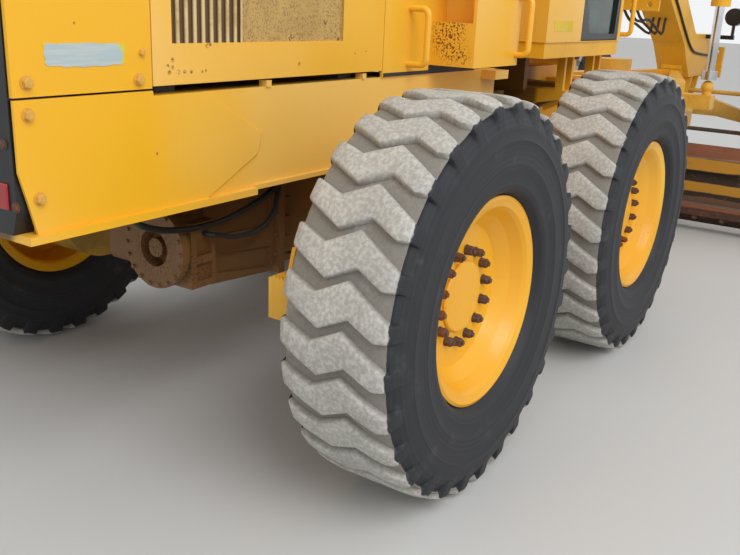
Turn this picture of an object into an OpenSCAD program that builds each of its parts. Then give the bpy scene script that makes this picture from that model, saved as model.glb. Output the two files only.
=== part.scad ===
// Motor grader: tractor with two tandem axles, articulated front frame, cab, drawbar, circle,
// moldboard and leaning front wheels. Millimetres. X points forward, Y to the left, Z up.
// The origin is on the ground, below the middle of the whole machine.

/* [Overall] */
// Length from the rear panel to the front push plate
overall_len = 8800; // [8600:50:9200]
// Height of the cab roof above the ground
overall_h = 3300; // [3200:10:3500]
// Distance from the front axle forward to the push plate
front_overhang = 710; // [700:5:720]
// Distance between the two wheels of a tandem
tandem_base = 1640; // [1560:10:1700]
// Distance from the rear end to the rear wheel centre
rear_overhang = 1170; // [1120:10:1220]
// Distance from the middle of the tandem forward to the articulation hinge
hitch_ahead = 810; // [800:5:830]

/* [Wheels] */
// Radius of the tyre over its lugs
tyre_r = 662; // [645:1:675]
// Width of the tyre over its side walls
tyre_w = 400; // [380:2:410]
// Width of the tread
tread_w = 356; // [340:2:370]
// Height of the tread lugs
lug_h = 24; // [16:1:30]
// Wall of the tyre carcass
tyre_wall = 26; // [20:1:34]
// Sideways distance of each wheel from the middle of the machine
wheel_y = 1100; // [1090:2:1120]
// Radius of the rim over its flange
rim_r = 352; // [346:1:358]
// Radius of the rim under the tyre bead
bead_r = 318; // [314:1:322]
// Half the width of the rim
rim_half_w = 160; // [150:1:166]
// How far the wheel disc stands outboard of the wheel's middle
disc_out = 56; // [40:1:64]
// Radius of the flat wheel disc
disc_r = 243; // [236:1:250]
// Radius of the hub cap
cap_r = 122; // [112:1:128]
// Radius of the hub drum between the wheel and the tandem
drum_r = 140; // [120:1:150]

/* [Tractor frame] */
// Sideways distance of the frame's outer face
frame_y = 520; // [510:2:530]
// Width of one frame rail
rail_w = 110; // [90:2:130]
// Plate of the frame rails
rail_t = 14; // [10:1:18]
// Height of the underside of the frame
frame_z = 975; // [965:5:990]
// Depth of the frame rails
frame_h = 325; // [310:5:335]
// How far the frame rails run forward of the rear wheel
frame_reach = 1450; // [1430:5:1460]
// Thickness of the rear side plates
side_plate_t = 8; // [6:1:12]
// Thickness of the rear panel with the radiator guard
rear_panel_t = 60; // [50:2:70]

/* [Hood] */
// Height of the hood top above the ground
hood_z = 2110; // [2060:10:2160]
// Sheet of the hood
hood_t = 12; // [8:1:16]
// Gap between the frame and the hood door
door_gap = 26; // [20:1:30]
// Length of the fixed panel behind the hood door
rear_side_len = 440; // [420:5:460]
// Length of the hood door
hood_door_len = 1170; // [1150:5:1190]

/* [Side tanks] */
// Sideways distance of the tank's outer face
tank_y = 730; // [720:2:740]
// Length of the tank
tank_len = 420; // [400:5:430]
// How far the tank starts forward of the rear wheel
tank_start = 790; // [780:5:800]
// Height of the tank's top
tank_z = 1900; // [1860:10:1960]
// Height of the step in the tank's rear face
tank_step_h = 175; // [160:5:190]
// Depth of that step
tank_step_d = 130; // [110:5:150]

/* [Tandem] */
// Sideways distance of the tandem case's inner face
case_y = 626; // [620:1:634]
// Width of the tandem case
case_w = 222; // [206:2:230]
// Height of the tandem case at its middle
case_h = 520; // [480:10:540]
// Radius of the tandem case round each wheel axle
case_end_r = 215; // [200:5:235]
// Radius of the tandem's pivot sleeve
pivot_r = 170; // [150:5:190]
// Depth of the pivot sleeve in the case
pivot_d = 70; // [50:5:90]

/* [Cab] */
// Half the width of the cab
cab_y = 720; // [710:2:730]
// Distance from the hitch back to the rear of the cab
cab_behind = 90; // [80:2:96]
// Length of the cab
cab_len = 1640; // [1600:10:1660]
// Height of the cab floor's underside
floor_z = 1355; // [1350:5:1365]
// Thickness of the cab floor
floor_t = 75; // [60:5:90]
// Wall of the cab
cab_wall = 60; // [50:2:70]
// Thickness of the glass
glass_t = 8; // [6:1:12]
// Height of the cab roof panel
roof_t = 120; // [100:5:140]
// How far the roof stands out over the walls
roof_over = 50; // [30:5:60]
// Length of the closed panel at the rear of each cab side
cab_panel_len = 455; // [445:5:465]
// Length of the door opening
door_len = 570; // [560:5:575]
// Length of the cab's straight sides, ahead of which they draw in
cab_straight_len = 1070; // [1065:5:1090]
// Half the width of the cab at its front
cab_nose_y = 450; // [440:5:480]

/* [Front frame] */
// Width of the front frame's beam
beam_w = 300; // [280:5:310]
// Height of the underside of the arch over the circle
arch_z = 1790; // [1770:5:1830]
// Depth of the beam
beam_h = 320; // [300:5:340]

/* [Blade gear] */
// Distance from the articulation hinge forward to the middle of the circle
circle_ahead = 2700; // [2680:10:2720]
// Radius of the circle over its rim
circle_r = 760; // [740:5:775]
// Radial width of the circle's ring
circle_w = 120; // [100:5:130]
// Height of the circle's underside
circle_z = 790; // [780:5:810]
// Thickness of the circle
circle_t = 110; // [100:5:120]
// Length of the moldboard
blade_len = 3660; // [3500:20:3700]
// Height of the moldboard with its cutting edge
blade_h = 615; // [600:5:625]
// Thickness of the moldboard
blade_t = 25; // [20:1:30]
// Height of the cutting edge above the ground
blade_clear = 40; // [30:5:60]
// Sideways distance of the lift cylinders
lift_y = 880; // [860:5:900]

/* [Front axle] */
// Sideways distance of the kingpins
kingpin_y = 990; // [980:2:1000]
// Sideways distance of the lean pivots
lean_y = 770; // [760:2:780]
// Height of the lean pivots
lean_z = 640; // [620:5:660]

/* [Hidden] */
$fn = 48;

// Colours
yellow = [0.94, 0.67, 0.15];
dark = [0.12, 0.12, 0.13];
rubber = [0.20, 0.20, 0.21];
steel = [0.45, 0.42, 0.40];
chrome = [0.80, 0.81, 0.82];
glass = [0.35, 0.48, 0.50, 0.45];

// Stations along the machine
rear_x = -overall_len / 2;
front_x = overall_len / 2;
rear_axle_x = rear_x + rear_overhang;
mid_axle_x = rear_axle_x + tandem_base;
tandem_x = (rear_axle_x + mid_axle_x) / 2;
hitch_x = tandem_x + hitch_ahead;
front_axle_x = front_x - front_overhang;
circle_x = hitch_x + circle_ahead;
axle_z = tyre_r;
frame_top_z = frame_z + frame_h;
frame_front_x = rear_axle_x + frame_reach;
door_z = frame_top_z + door_gap;
door_rear_x = rear_x + rear_side_len;
door_front_x = door_rear_x + hood_door_len;
tank_x = rear_axle_x + tank_start;
tank_front_x = tank_x + tank_len;
cab_x = hitch_x - cab_behind;
cab_front_x = cab_x + cab_len;
floor_top_z = floor_z + floor_t;
roof_z = overall_h - roof_t;

// Running clearances
slip = 0.05;
part_gap = 6;

function unit(v) = v / norm(v);
function corner_arc(a, p, b, r, n) =
    r <= 0 ? [p] :
    let (u = unit(a - p), v = unit(b - p), half = acos(u * v) / 2,
         c = p + unit(u + v) * (r / sin(half)),
         s = p + u * (r / tan(half)), e = p + v * (r / tan(half)),
         a0 = atan2(s.y - c.y, s.x - c.x), a1 = atan2(e.y - c.y, e.x - c.x),
         da = ((a1 - a0 + 540) % 360) - 180)
    [for (i = [0:n]) c + r * [cos(a0 + da * i / n), sin(a0 + da * i / n)]];
// Outline with rounded corners: each point is [x, y] or [x, y, radius]
function rounded(pts, n = 5) =
    [for (i = [0:len(pts) - 1])
        let (m = len(pts), a = pts[(i + m - 1) % m], p = pts[i], b = pts[(i + 1) % m])
        each corner_arc([a.x, a.y], [p.x, p.y], [b.x, b.y], len(p) > 2 ? p[2] : 0, n)];

module block(x0, x1, y0, y1, z0, z1) {
    translate([x0, y0, z0]) cube([x1 - x0, y1 - y0, z1 - z0]);
}
module plate_xz(pts, y0, y1) {
    translate([0, y1, 0]) rotate([90, 0, 0]) linear_extrude(y1 - y0) polygon(pts);
}
module plate_xy(pts, z0, z1) {
    translate([0, 0, z0]) linear_extrude(z1 - z0) polygon(pts);
}
module plate_yz(pts, x0, x1) {
    translate([x0, 0, 0]) rotate([90, 0, 90]) linear_extrude(x1 - x0) polygon(pts);
}
module rod_x(x0, x1, y, z, r) {
    translate([x0, y, z]) rotate([0, 90, 0]) cylinder(h = x1 - x0, r = r);
}
module rod_y(x, y0, y1, z, r) {
    translate([x, y1, z]) rotate([90, 0, 0]) cylinder(h = y1 - y0, r = r);
}
module rod_z(x, y, z0, z1, r) {
    translate([x, y, z0]) cylinder(h = z1 - z0, r = r);
}
// A round bar from one point to another
module bar(a, b, r) {
    d = b - a;
    translate(a) rotate([0, acos(d.z / norm(d)), atan2(d.y, d.x)]) cylinder(h = norm(d), r = r);
}
// Smooth curve through the points of p, with n steps from one to the next
function curve(p, n = 3) = concat([
    for (i = [0:len(p) - 2])
        let (a = p[max(i - 1, 0)], b = p[i], c = p[i + 1], d = p[min(i + 2, len(p) - 1)])
        for (k = [0:n - 1])
            let (t = k / n)
            0.5 * (2 * b + (c - a) * t + (2 * a - 5 * b + 4 * c - d) * t * t
                   + (3 * b - a - 3 * c + d) * t * t * t)
], [p[len(p) - 1]]);
// A hose of radius r through the points of p. The hose nowhere runs along the direction flat
module hose(p, r, flat = [0, 1, 0]) {
    q = curve(p);
    m = len(q);
    s = 8;
    rings = [
        for (i = [0:m - 1])
            let (t = unit(q[min(i + 1, m - 1)] - q[max(i - 1, 0)]),
                 u = unit(cross(t, flat)), v = cross(u, t))
            for (k = [0:s - 1]) q[i] + r * (cos(360 * k / s) * u + sin(360 * k / s) * v)
    ];
    skin = [
        for (i = [0:m - 2]) for (k = [0:s - 1])
            let (a = i * s + k, b = i * s + (k + 1) % s)
            each [[a, b, b + s], [a, b + s, a + s]]
    ];
    ends = [[for (k = [s - 1:-1:0]) k], [for (k = [0:s - 1]) (m - 1) * s + k]];
    polyhedron(points = rings, faces = concat(skin, ends));
}
// Left-hand shapes are drawn, and side = -1 mirrors them to the right
module on_side(side) {
    if (side > 0) children();
    else mirror([0, 1, 0]) children();
}
module both_sides() {
    children();
    mirror([0, 1, 0]) children();
}

// Wheels
tyre_half = tyre_w / 2;
tread_half = tread_w / 2;
root_r = tyre_r - lug_h;
flange_t = 14;

// Columns: radius, distance from the wheel's middle plane
function tyre_outer() = [
    [bead_r, rim_half_w - 40], [bead_r + 8, rim_half_w - 24], [rim_r, rim_half_w - flange_t],
    [rim_r + 14, rim_half_w + 12], [rim_r + 100, tyre_half - 3], [rim_r + 175, tyre_half],
    [tyre_r - 60, tyre_half - 8], [tyre_r - 14, tread_half], [tyre_r - 3, tread_half - 16],
    [tyre_r, tread_half - 40]
];
function tyre_inner() = [
    [tyre_r - tyre_wall - lug_h, 0], [tyre_r - tyre_wall - lug_h, tread_half - 70],
    [tyre_r - 104, tyre_half - tyre_wall - 16], [rim_r + 100, tyre_half - tyre_wall - 14],
    [bead_r, rim_half_w - 62]
];
// Zigzag edges of a lug. Columns: share of the tread's width from its inner edge, distance round the tread
lug_count = 29;
// How far the lugs of the rear, middle and front wheels are turned
lug_phase = [0.35, 5.55, 3.1];
lug_pitch = 2 * PI * tyre_r / lug_count;
lug_front = [[-0.08, 6], [0.30, 56], [0.59, 4], [1.08, 113]];
lug_back = [[1.08, 150], [0.90, 154], [0.65, 108], [0.38, 156], [-0.08, 69]];
function on_tread(p, shift) = [tread_w * (p.x - 0.5), p.y + shift];
module tyre_groove() {
    // The middle of the groove lies on the local X axis
    mid = (lug_back[2].y + lug_front[2].y + lug_pitch) / 2;
    rotate([0, -360 * mid / (lug_pitch * lug_count), 0]) {
        plate_yz(concat(
            [for (p = lug_front) on_tread(p, lug_pitch - mid)],
            [for (p = lug_back) on_tread(p, -mid)]
        ), root_r, tyre_r + 6);
        // The groove runs out deeper over the outer shoulder
        shoulder = [
            [root_r - 26, tread_half + 24], [root_r + 0.5, tread_half - 26], [tyre_r + 6, tread_half - 26],
            [tyre_r + 6, tread_half + 24]
        ];
        plate_xy(shoulder, 154 - mid, lug_front[3].y + lug_pitch - mid - 22);
    }
}
module tyre(phase) {
    outer = tyre_outer();
    inner = tyre_inner();
    section = concat(
        outer,
        [for (i = [len(outer) - 1:-1:0]) [outer[i].x, -outer[i].y]],
        [for (i = [len(inner) - 1:-1:1]) [inner[i].x, -inner[i].y]],
        inner
    );
    color(rubber) difference() {
        rotate([-90, 0, 0]) rotate_extrude($fn = 96) polygon(section);
        for (i = [0:lug_count - 1]) rotate([0, -phase - 360 * i / lug_count, 0]) tyre_groove();
    }
}
// Columns: radius, distance outboard of the wheel's middle plane
module rim(hub_r, hub_in) {
    section = [
        [0, disc_out + 12], [cap_r - 5, disc_out + 12], [cap_r, disc_out + 7], [cap_r, disc_out],
        [disc_r, disc_out], [disc_r + 5, disc_out + 6], [disc_r + 40, disc_out + 44],
        [disc_r + 62, rim_half_w - 22], [bead_r - 2, rim_half_w - 10], [rim_r - 10, rim_half_w],
        [rim_r, rim_half_w - 4], [rim_r, rim_half_w - flange_t], [bead_r + 8, rim_half_w - 24],
        [bead_r, rim_half_w - 40], [bead_r, 40 - rim_half_w], [bead_r + 8, 24 - rim_half_w],
        [rim_r, flange_t - rim_half_w], [rim_r, 4 - rim_half_w], [rim_r - 10, -rim_half_w],
        [bead_r - 2, 10 - rim_half_w], [bead_r - 12, 24 - rim_half_w],
        [bead_r - 12, disc_out - 22], [disc_r + 36, disc_out - 14], [hub_r, disc_out - 14],
        [hub_r, hub_in], [0, hub_in]
    ];
    color(yellow) rotate([-90, 0, 0]) rotate_extrude($fn = 96) polygon(section);
}
// The wheel disc faces outboard on both sides
module at_wheel(x, side) {
    translate([x, side * wheel_y, axle_z])
        if (side > 0) children();
        else mirror([0, 1, 0]) children();
}
drum_in = case_y + case_w + part_gap - wheel_y;

// Tractor
module rear_frame() {
    color(yellow) {
        both_sides() {
            difference() {
                block(rear_x + rear_panel_t, frame_front_x, frame_y - rail_w, frame_y - side_plate_t,
                      frame_z, frame_top_z);
                block(rear_x + rear_panel_t + rail_t, frame_front_x - rail_t,
                      frame_y - rail_w - 1, frame_y - side_plate_t - rail_t,
                      frame_z + rail_t, frame_top_z - rail_t);
            }
            side_plate();
            // Lower flanges: a deep one at the rear, then a thin one
            block(rear_x + rear_panel_t, flange_x, frame_y - rail_w, frame_y + 12, frame_z - 22, frame_z);
            block(flange_x - 1, frame_front_x - 40, frame_y - rail_w, frame_y + 6,
                  frame_z - 6, frame_z + 10);
            // Stops under the hood door, and the bracket on the rail's front end
            for (x = stop_x) block(x - 12, x + 12, frame_y - 36, frame_y - 2, frame_top_z - 1, door_z - 6);
            block(frame_front_x - 150, frame_front_x - 10, frame_y - side_plate_t - 1, frame_y + 68,
                  frame_top_z - 42, frame_top_z - 2);
        }
        // Plate under the rear panel
        both_sides()
            block(rear_x + 14, rear_x + rear_panel_t + 1, 110, frame_y + 12, frame_z - 22, frame_z);
        // Cross members
        for (x = [rear_x + rear_panel_t, tandem_x - 90])
            block(x, x + 160, -web_y, web_y, frame_z + 20, frame_top_z - 20);
        hitch_rear();
        tow_eye();
    }
}
flange_x = rear_axle_x - 300;
stop_x = [door_rear_x + 500, door_front_x - 120];
seam_h = 20;
// Plate on each rear corner of the frame, with its corners cut off. It covers the rear panel's edge
module side_plate() {
    plate_xz([
        [rear_x + 46, frame_z], [rear_x + 4, frame_z + 163], [rear_x + 4, frame_top_z + seam_h - 6],
        [door_rear_x + 2, frame_top_z + seam_h - 6], [door_rear_x + 4, frame_top_z],
        [rear_axle_x - 525, frame_top_z], [rear_axle_x - 268, frame_z + 175],
        [rear_axle_x - 286, frame_z + 114], [rear_axle_x - 520, frame_z]
    ], frame_y - side_plate_t, frame_y);
}
web_y = frame_y - side_plate_t - rail_t;
hitch_pin_r = 45;
hitch_ear_r = 105;
hitch_ear_t = 50;
hitch_low_z = frame_z - 95;
hitch_high_z = frame_z + 190;
hitch_plate_x = hitch_x - 600;
module hitch_rear() {
    inner_y = frame_y - rail_w;
    ear = rounded([
        [hitch_plate_x, -inner_y], [frame_front_x - 40, -inner_y], [hitch_x, -hitch_ear_r],
        [hitch_x + hitch_ear_r, -hitch_ear_r, 100], [hitch_x + hitch_ear_r, hitch_ear_r, 100],
        [hitch_x, hitch_ear_r], [frame_front_x - 40, inner_y], [hitch_plate_x, inner_y]
    ], 8);
    difference() {
        for (z = [hitch_low_z, hitch_high_z]) plate_xy(ear, z, z + hitch_ear_t);
        both_sides() rod_z(artic_a.x, artic_a.y, hitch_low_z - 1, hitch_high_z + hitch_ear_t + 1,
                           artic_pin_r);
    }
    // Webs that tie the two ears to each other and to the rails
    block(hitch_plate_x, frame_front_x - 60, -120, 120, hitch_low_z + hitch_ear_t, hitch_high_z);
    both_sides() {
        block(hitch_plate_x, frame_front_x - 40, inner_y - 14, inner_y, hitch_low_z, hitch_high_z + 1);
        rod_z(artic_a.x, artic_a.y, hitch_low_z, artic_z - artic_eye_h - part_gap, artic_pin_r);
        rod_z(artic_a.x, artic_a.y, artic_z - artic_eye_h - part_gap - 1,
              artic_z + artic_eye_h + part_gap + 1, artic_pin_r - slip);
        rod_z(artic_a.x, artic_a.y, artic_z + artic_eye_h + part_gap, hitch_high_z + hitch_ear_t,
              artic_pin_r);
    }
    // The hinge pin
    rod_z(hitch_x, 0, hitch_low_z - 30, hitch_high_z + hitch_ear_t + 30, hitch_pin_r);
}
tow_r = 20;
tow_x = rear_x + 70;
module tow_eye() {
    difference() {
        plate_xy(rounded([
            [rear_x + rear_panel_t + 160, -130], [rear_x + 8, -60, 40], [rear_x + 8, 60, 40],
            [rear_x + rear_panel_t + 160, 130]
        ]), frame_z - 50, frame_z - 10);
        rod_z(tow_x, 0, frame_z - 51, frame_z - 9, tow_r);
    }
    block(rear_x + rear_panel_t + 60, rear_x + rear_panel_t + 160, -130, 130, frame_z - 11, frame_z + 21);
}
guard_y = frame_y - 90;
guard_z = [frame_top_z + 60, hood_z - 90];
guard_t = 40;
guard_bars = 14;
panel_y = frame_y - hood_t - 3;
tail_lamp_y = [360, 478];
tail_lamp_z = [1040, 1108];
module rear_panel() {
    color(dark)
        difference() {
            plate_yz(rounded([
                [-panel_y + 24, frame_z], [panel_y - 24, frame_z], [panel_y, frame_z + 70],
                [panel_y, hood_z - hood_t - 3, 98], [-panel_y, hood_z - hood_t - 3, 98],
                [-panel_y, frame_z + 70]
            ]), rear_x, rear_x + rear_panel_t);
            block(rear_x - 1, rear_x + rear_panel_t + 1, -guard_y, guard_y, guard_z[0], guard_z[1]);
            // Seats of the tail lamps
            both_sides()
                block(rear_x - 1, rear_x + 10, tail_lamp_y[0], tail_lamp_y[1],
                      tail_lamp_z[0], tail_lamp_z[1]);
        }
}
// Guard over the radiator, hinged at its left edge
module radiator_door() {
    y = guard_y - part_gap;
    z = [guard_z[0] + part_gap, guard_z[1] - part_gap];
    rim_w = 45;
    x = [rear_x, rear_x + guard_t];
    color(dark) {
        difference() {
            block(x[0], x[1], -y, y, z[0], z[1]);
            block(x[0] - 1, x[1] + 1, rim_w - y, y - rim_w, z[0] + rim_w, z[1] - rim_w);
        }
        for (i = [1:guard_bars])
            let (bar_y = (rim_w - y) + 2 * (y - rim_w) * i / (guard_bars + 1))
            block(x[0] + 8, x[1] - 8, bar_y - 8, bar_y + 8, z[0] + rim_w - 1, z[1] - rim_w + 1);
    }
}
hinge_z = hood_z - 130;
module hood() {
    rear = rear_x + 4;
    color(yellow) difference() {
        plate_yz(rounded([
            [-frame_y, frame_top_z], [frame_y, frame_top_z], [frame_y, hood_z, 110],
            [-frame_y, hood_z, 110]
        ], 8), rear, tank_front_x);
        translate([0, 0, -1])
            plate_yz(rounded([
                [hood_t - frame_y, frame_top_z], [frame_y - hood_t, frame_top_z],
                [frame_y - hood_t, hood_z - hood_t, 100], [hood_t - frame_y, hood_z - hood_t, 100]
            ], 8), rear - 1, tank_front_x - hood_t);
        both_sides() {
            block(door_rear_x, door_front_x, frame_y - hood_t - 1, frame_y + 1, frame_top_z - 1,
                  hinge_z + 8);
            block(rear - 1, door_rear_x + 1, frame_y - hood_t - 1, frame_y + 1, frame_top_z - 1,
                  frame_top_z + seam_h);
        }
    }
    // Grab handle between the hood door and the tank
    color(yellow) both_sides() handle([tank_x - 170, frame_y, frame_top_z + 46], 216, 100, [0, 1, 0]);
}
ridge_count = 8;
ridge_pitch = 34;
ridge_r = 9.5;
ridge_x = door_rear_x + 105;
louvre_x = [door_rear_x + 78, door_rear_x + 372];
mesh_x = [door_rear_x + 372, door_front_x - 269];
grille_z = [1440, 1800];
module hood_door(side) {
    z0 = door_z;
    color(yellow) on_side(side) {
        difference() {
            block(door_rear_x + 4, door_front_x - 4, frame_y - hood_t, frame_y, z0, hinge_z);
            block(louvre_x[0], mesh_x[1], frame_y - hood_t - 1, frame_y + 1, grille_z[0], grille_z[1]);
        }
        // Sheet pressed into upright half-round ridges, then a plain screen
        block(louvre_x[0] - 1, mesh_x[1] + 1, frame_y - hood_t, frame_y - hood_t + 3,
              grille_z[0] - 1, grille_z[1] + 1);
        for (i = [0:ridge_count - 1])
            intersection() {
                rod_z(ridge_x + i * ridge_pitch, frame_y - hood_t + 2,
                      grille_z[0] - 1, grille_z[1] + 1, ridge_r);
                block(ridge_x - 20 + i * ridge_pitch, ridge_x + 20 + i * ridge_pitch,
                      frame_y - hood_t + 2, frame_y, grille_z[0] - 1, grille_z[1] + 1);
            }
        block(louvre_x[1] - 8, louvre_x[1], frame_y - hood_t, frame_y - 1, grille_z[0] - 1, grille_z[1] + 1);
    }
}
module engine() {
    color(dark) {
        block(door_rear_x - 20, door_front_x - 50, -engine_y, engine_y, frame_top_z + 20, hood_z - 260);
        for (x = [door_rear_x + 60, door_front_x - 210])
            block(x, x + 80, -engine_foot_y, engine_foot_y, frame_top_z, frame_top_z + 21);
    }
}
engine_y = frame_y - 190;
engine_foot_y = frame_y - rail_w + 50;
trans_x = [rear_axle_x - 275, rear_axle_x + 560];
pan_front_x = rear_axle_x + 115;
pan_y = 260;
pan_z = 545;
cover_x = rear_axle_x - 430;
cover_y = -180;
cover_z = 730;
cover_r = 145;
foot_x = [rear_axle_x - 730, rear_axle_x + 70, trans_x[1] - 200];
foot_z = frame_z + 60;
module transmission() {
    color(yellow) {
        difference() {
            plate_xz(rounded([
                [trans_x[0], pan_z + 22, 36], [pan_front_x + 1, pan_z - 8, 50],
                [pan_front_x + 1, frame_z - 20], [trans_x[0], frame_z - 20]
            ]), -pan_y, pan_y);
            // Sunk panels in the sides of the oil pan
            both_sides() {
                plate_xz(rounded([
                    [trans_x[0] + 62, pan_z + 56, 12], [pan_front_x - 34, pan_z + 12, 12],
                    [pan_front_x - 34, pan_z + 100, 12], [trans_x[0] + 62, pan_z + 128, 12]
                ], 3), pan_y - 12, pan_y + 1);
                plate_xz(rounded([
                    [trans_x[0] + 92, pan_z + 200, 12], [pan_front_x - 34, pan_z + 178, 12],
                    [pan_front_x - 34, pan_z + 296, 12], [trans_x[0] + 120, pan_z + 240, 12]
                ], 3), pan_y - 12, pan_y + 1);
            }
        }
        // Flange ahead of the pan, with its ribs and bolts
        block(pan_front_x, pan_front_x + 34, -pan_y - 20, pan_y + 20, pan_z - 20, frame_z - 30);
        for (z = [pan_z + 20:80:frame_z - 80])
            block(pan_front_x + 33, pan_front_x + 90, -pan_y - 6, pan_y + 6, z, z + 22);
        both_sides()
            for (z = [pan_z + 60:80:frame_z - 60])
                rod_x(pan_front_x - 12, pan_front_x + 1, pan_y + 8, z, 8);
        block(pan_front_x + 33, trans_x[1], -pan_y + 50, pan_y - 50, pan_z + 30, frame_z - 20);
        // Round housing with a bolted cover behind the pan
        converter();
        block(foot_x[0], trans_x[1] - 100, -120, 120, frame_z + 30, frame_top_z - 60);
        block(trans_x[0] + 100, trans_x[1] - 100, -120, 120, frame_z - 21, frame_z + 31);
        // Feet between the frame rails
        for (x = foot_x) block(x, x + 90, -web_y, web_y, foot_z, foot_z + 60);
        // Drive shaft housing to the final drive
        rod_x(trans_x[1] - 1, tandem_x - 200, 0, axle_z, 110);
    }
}
module converter() {
    difference() {
        union() {
            rod_x(cover_x, trans_x[0] + 1, cover_y, cover_z, cover_r - 20);
            rod_x(cover_x - 14, cover_x + 14, cover_y, cover_z, cover_r);
            block(cover_x + 40, trans_x[0] + 1, cover_y - 128, cover_y, cover_z - 140, cover_z + 96);
            block(cover_x + 70, trans_x[0] + 1, cover_y - 60, cover_y + 60, cover_z + 80, frame_z - 20);
        }
        rod_x(cover_x - 15, cover_x + 40, cover_y, cover_z, 66);
        for (z = [cover_z - 116, cover_z - 24])
            block(cover_x + 66, trans_x[0] - 14, cover_y - 129, cover_y - 112, z, z + 62);
    }
    rod_x(cover_x - 6, cover_x + 41, cover_y, cover_z, 34);
    ring = cover_r - 12;
    for (i = [0:17])
        rod_x(cover_x - 24, cover_x - 13, cover_y + ring * cos(20 * i), cover_z + ring * sin(20 * i), 7);
}
// Hoses that sag below the frame rail, and those ahead of the rail's end
module hoses_tractor() {
    sag_y = cover_y - 160;
    low_z = cover_z + 20;
    color(dark) {
        hose([
            [foot_x[0] + 45, sag_y, foot_z], [foot_x[0] + 45, sag_y, foot_z - 22],
            [foot_x[0] + 45, sag_y, foot_z - 45], [cover_x - 230, sag_y, low_z + 145],
            [cover_x - 143, sag_y, low_z + 101], [cover_x - 46, sag_y, low_z + 80],
            [cover_x + 57, sag_y, low_z + 72], [cover_x + 181, sag_y, low_z + 77],
            [cover_x + 329, sag_y, low_z + 108], [cover_x + 420, sag_y, low_z + 140],
            [foot_x[1] + 16, sag_y, low_z + 194], [foot_x[1] + 40, sag_y, foot_z - 45],
            [foot_x[1] + 40, sag_y, foot_z - 22], [foot_x[1] + 40, sag_y, foot_z]
        ], 11);
        hose([
            [cover_x + 100, cover_y - 128, cover_z + 56], [cover_x + 100, cover_y - 138, cover_z + 56],
            [cover_x + 100, cover_y - 148, cover_z + 56], [cover_x + 114, sag_y - 5, cover_z + 53],
            [cover_x + 150, sag_y - 3, low_z + 24], [cover_x + 216, sag_y, low_z + 5],
            [cover_x + 298, sag_y, low_z], [cover_x + 376, sag_y, low_z + 14],
            [cover_x + 440, sag_y, low_z + 57],
            [cover_x + 470, sag_y + 12, low_z + 110], [foot_x[1] + 26, sag_y + 38, low_z + 180],
            [foot_x[1] + 52, sag_y + 50, foot_z - 45], [foot_x[1] + 52, sag_y + 50, foot_z - 22],
            [foot_x[1] + 52, sag_y + 50, foot_z]
        ], 10, [0.6, 0.6, -0.5]);
        ear_z = hitch_high_z + hitch_ear_t;
        end_y = frame_y - rail_w / 2 - 4;
        both_sides() for (i = [0:1]) {
            end_z = ear_z - 100 - 80 * i;
            hose([
                [frame_front_x - 200, 300 - 80 * i, ear_z],
                [frame_front_x - 200, 300 - 80 * i, ear_z + 20],
                [frame_front_x - 200, 300 - 80 * i, ear_z + 42],
                [frame_front_x - 120, 310 - 70 * i, ear_z + 106 - 22 * i],
                [frame_front_x - 10, 360 - 60 * i, ear_z + 104 - 24 * i],
                [frame_front_x + 60 + 20 * i, 420 - 40 * i, ear_z + 40 - 30 * i],
                [frame_front_x + 78 + 10 * i, end_y + 6, ear_z - 50 - 60 * i],
                [frame_front_x + 45, end_y, end_z], [frame_front_x + 22, end_y, end_z],
                [frame_front_x, end_y, end_z]
            ], 11, [0, 0.6, 0.8]);
        }
    }
}
module final_drive() {
    color(yellow) {
        rod_x(tandem_x - 200, tandem_x + 200, 0, axle_z, 230);
        rod_y(tandem_x, -case_y - pivot_d + slip, case_y + pivot_d - slip, axle_z, pivot_r - slip);
        both_sides() {
            rod_y(tandem_x, 430, case_y - part_gap, axle_z, pivot_r + 70);
            // Saddle that hangs the drive under the frame rail
            plate_xz([
                [tandem_x - 260, frame_z - 16], [tandem_x - 180, axle_z], [tandem_x + 180, axle_z],
                [tandem_x + 260, frame_z - 16]
            ], 440, 500);
        }
    }
}
module tank(side) {
    low = frame_top_z + 38;
    step_top = low + tank_step_h;
    color(yellow) on_side(side) {
        difference() {
            block(tank_x, tank_front_x, frame_y, tank_y, low, tank_z);
            block(tank_x - 1, tank_x + tank_step_d, frame_y - 1, tank_y - 14, step_top, tank_z - 120);
        }
        // Grab handle near the tank's front edge
        handle([tank_front_x - 25, tank_y, low + 46], 240, 72, [0, 1, 0]);
    }
}
handle_r = 13;
// A round grab handle: foot at p, height h, standing d out along the direction n
module handle(p, h, d, n) {
    bend = 28;
    reach = d - handle_r;
    translate(p) rotate([0, 0, atan2(n.y, n.x)]) {
        for (z = [0, h]) rod_x(-3, reach - bend, 0, z, handle_r);
        rod_z(reach, 0, bend, h - bend, handle_r);
        handle_bend([reach - bend, 0, bend], -90, bend);
        handle_bend([reach - bend, 0, h - bend], 0, bend);
    }
}
// Quarter of a ring in the XZ plane, from the angle a on
module handle_bend(p, a, bend) {
    translate(p) rotate([90, 0, 0]) rotate([0, 0, a])
        rotate_extrude(angle = 90) translate([bend, 0]) circle(r = handle_r);
}
module exhaust() {
    color(dark) {
        rod_z(rear_x + 900, 180, hood_z, hood_z + 420, 60);
        rod_z(rear_x + 900, 180, hood_z + 420, hood_z + 640, 42);
        rod_z(rear_x + 1250, -160, hood_z, hood_z + 260, 50);
        rod_z(rear_x + 1250, -160, hood_z + 260, hood_z + 400, 105);
    }
}

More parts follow.
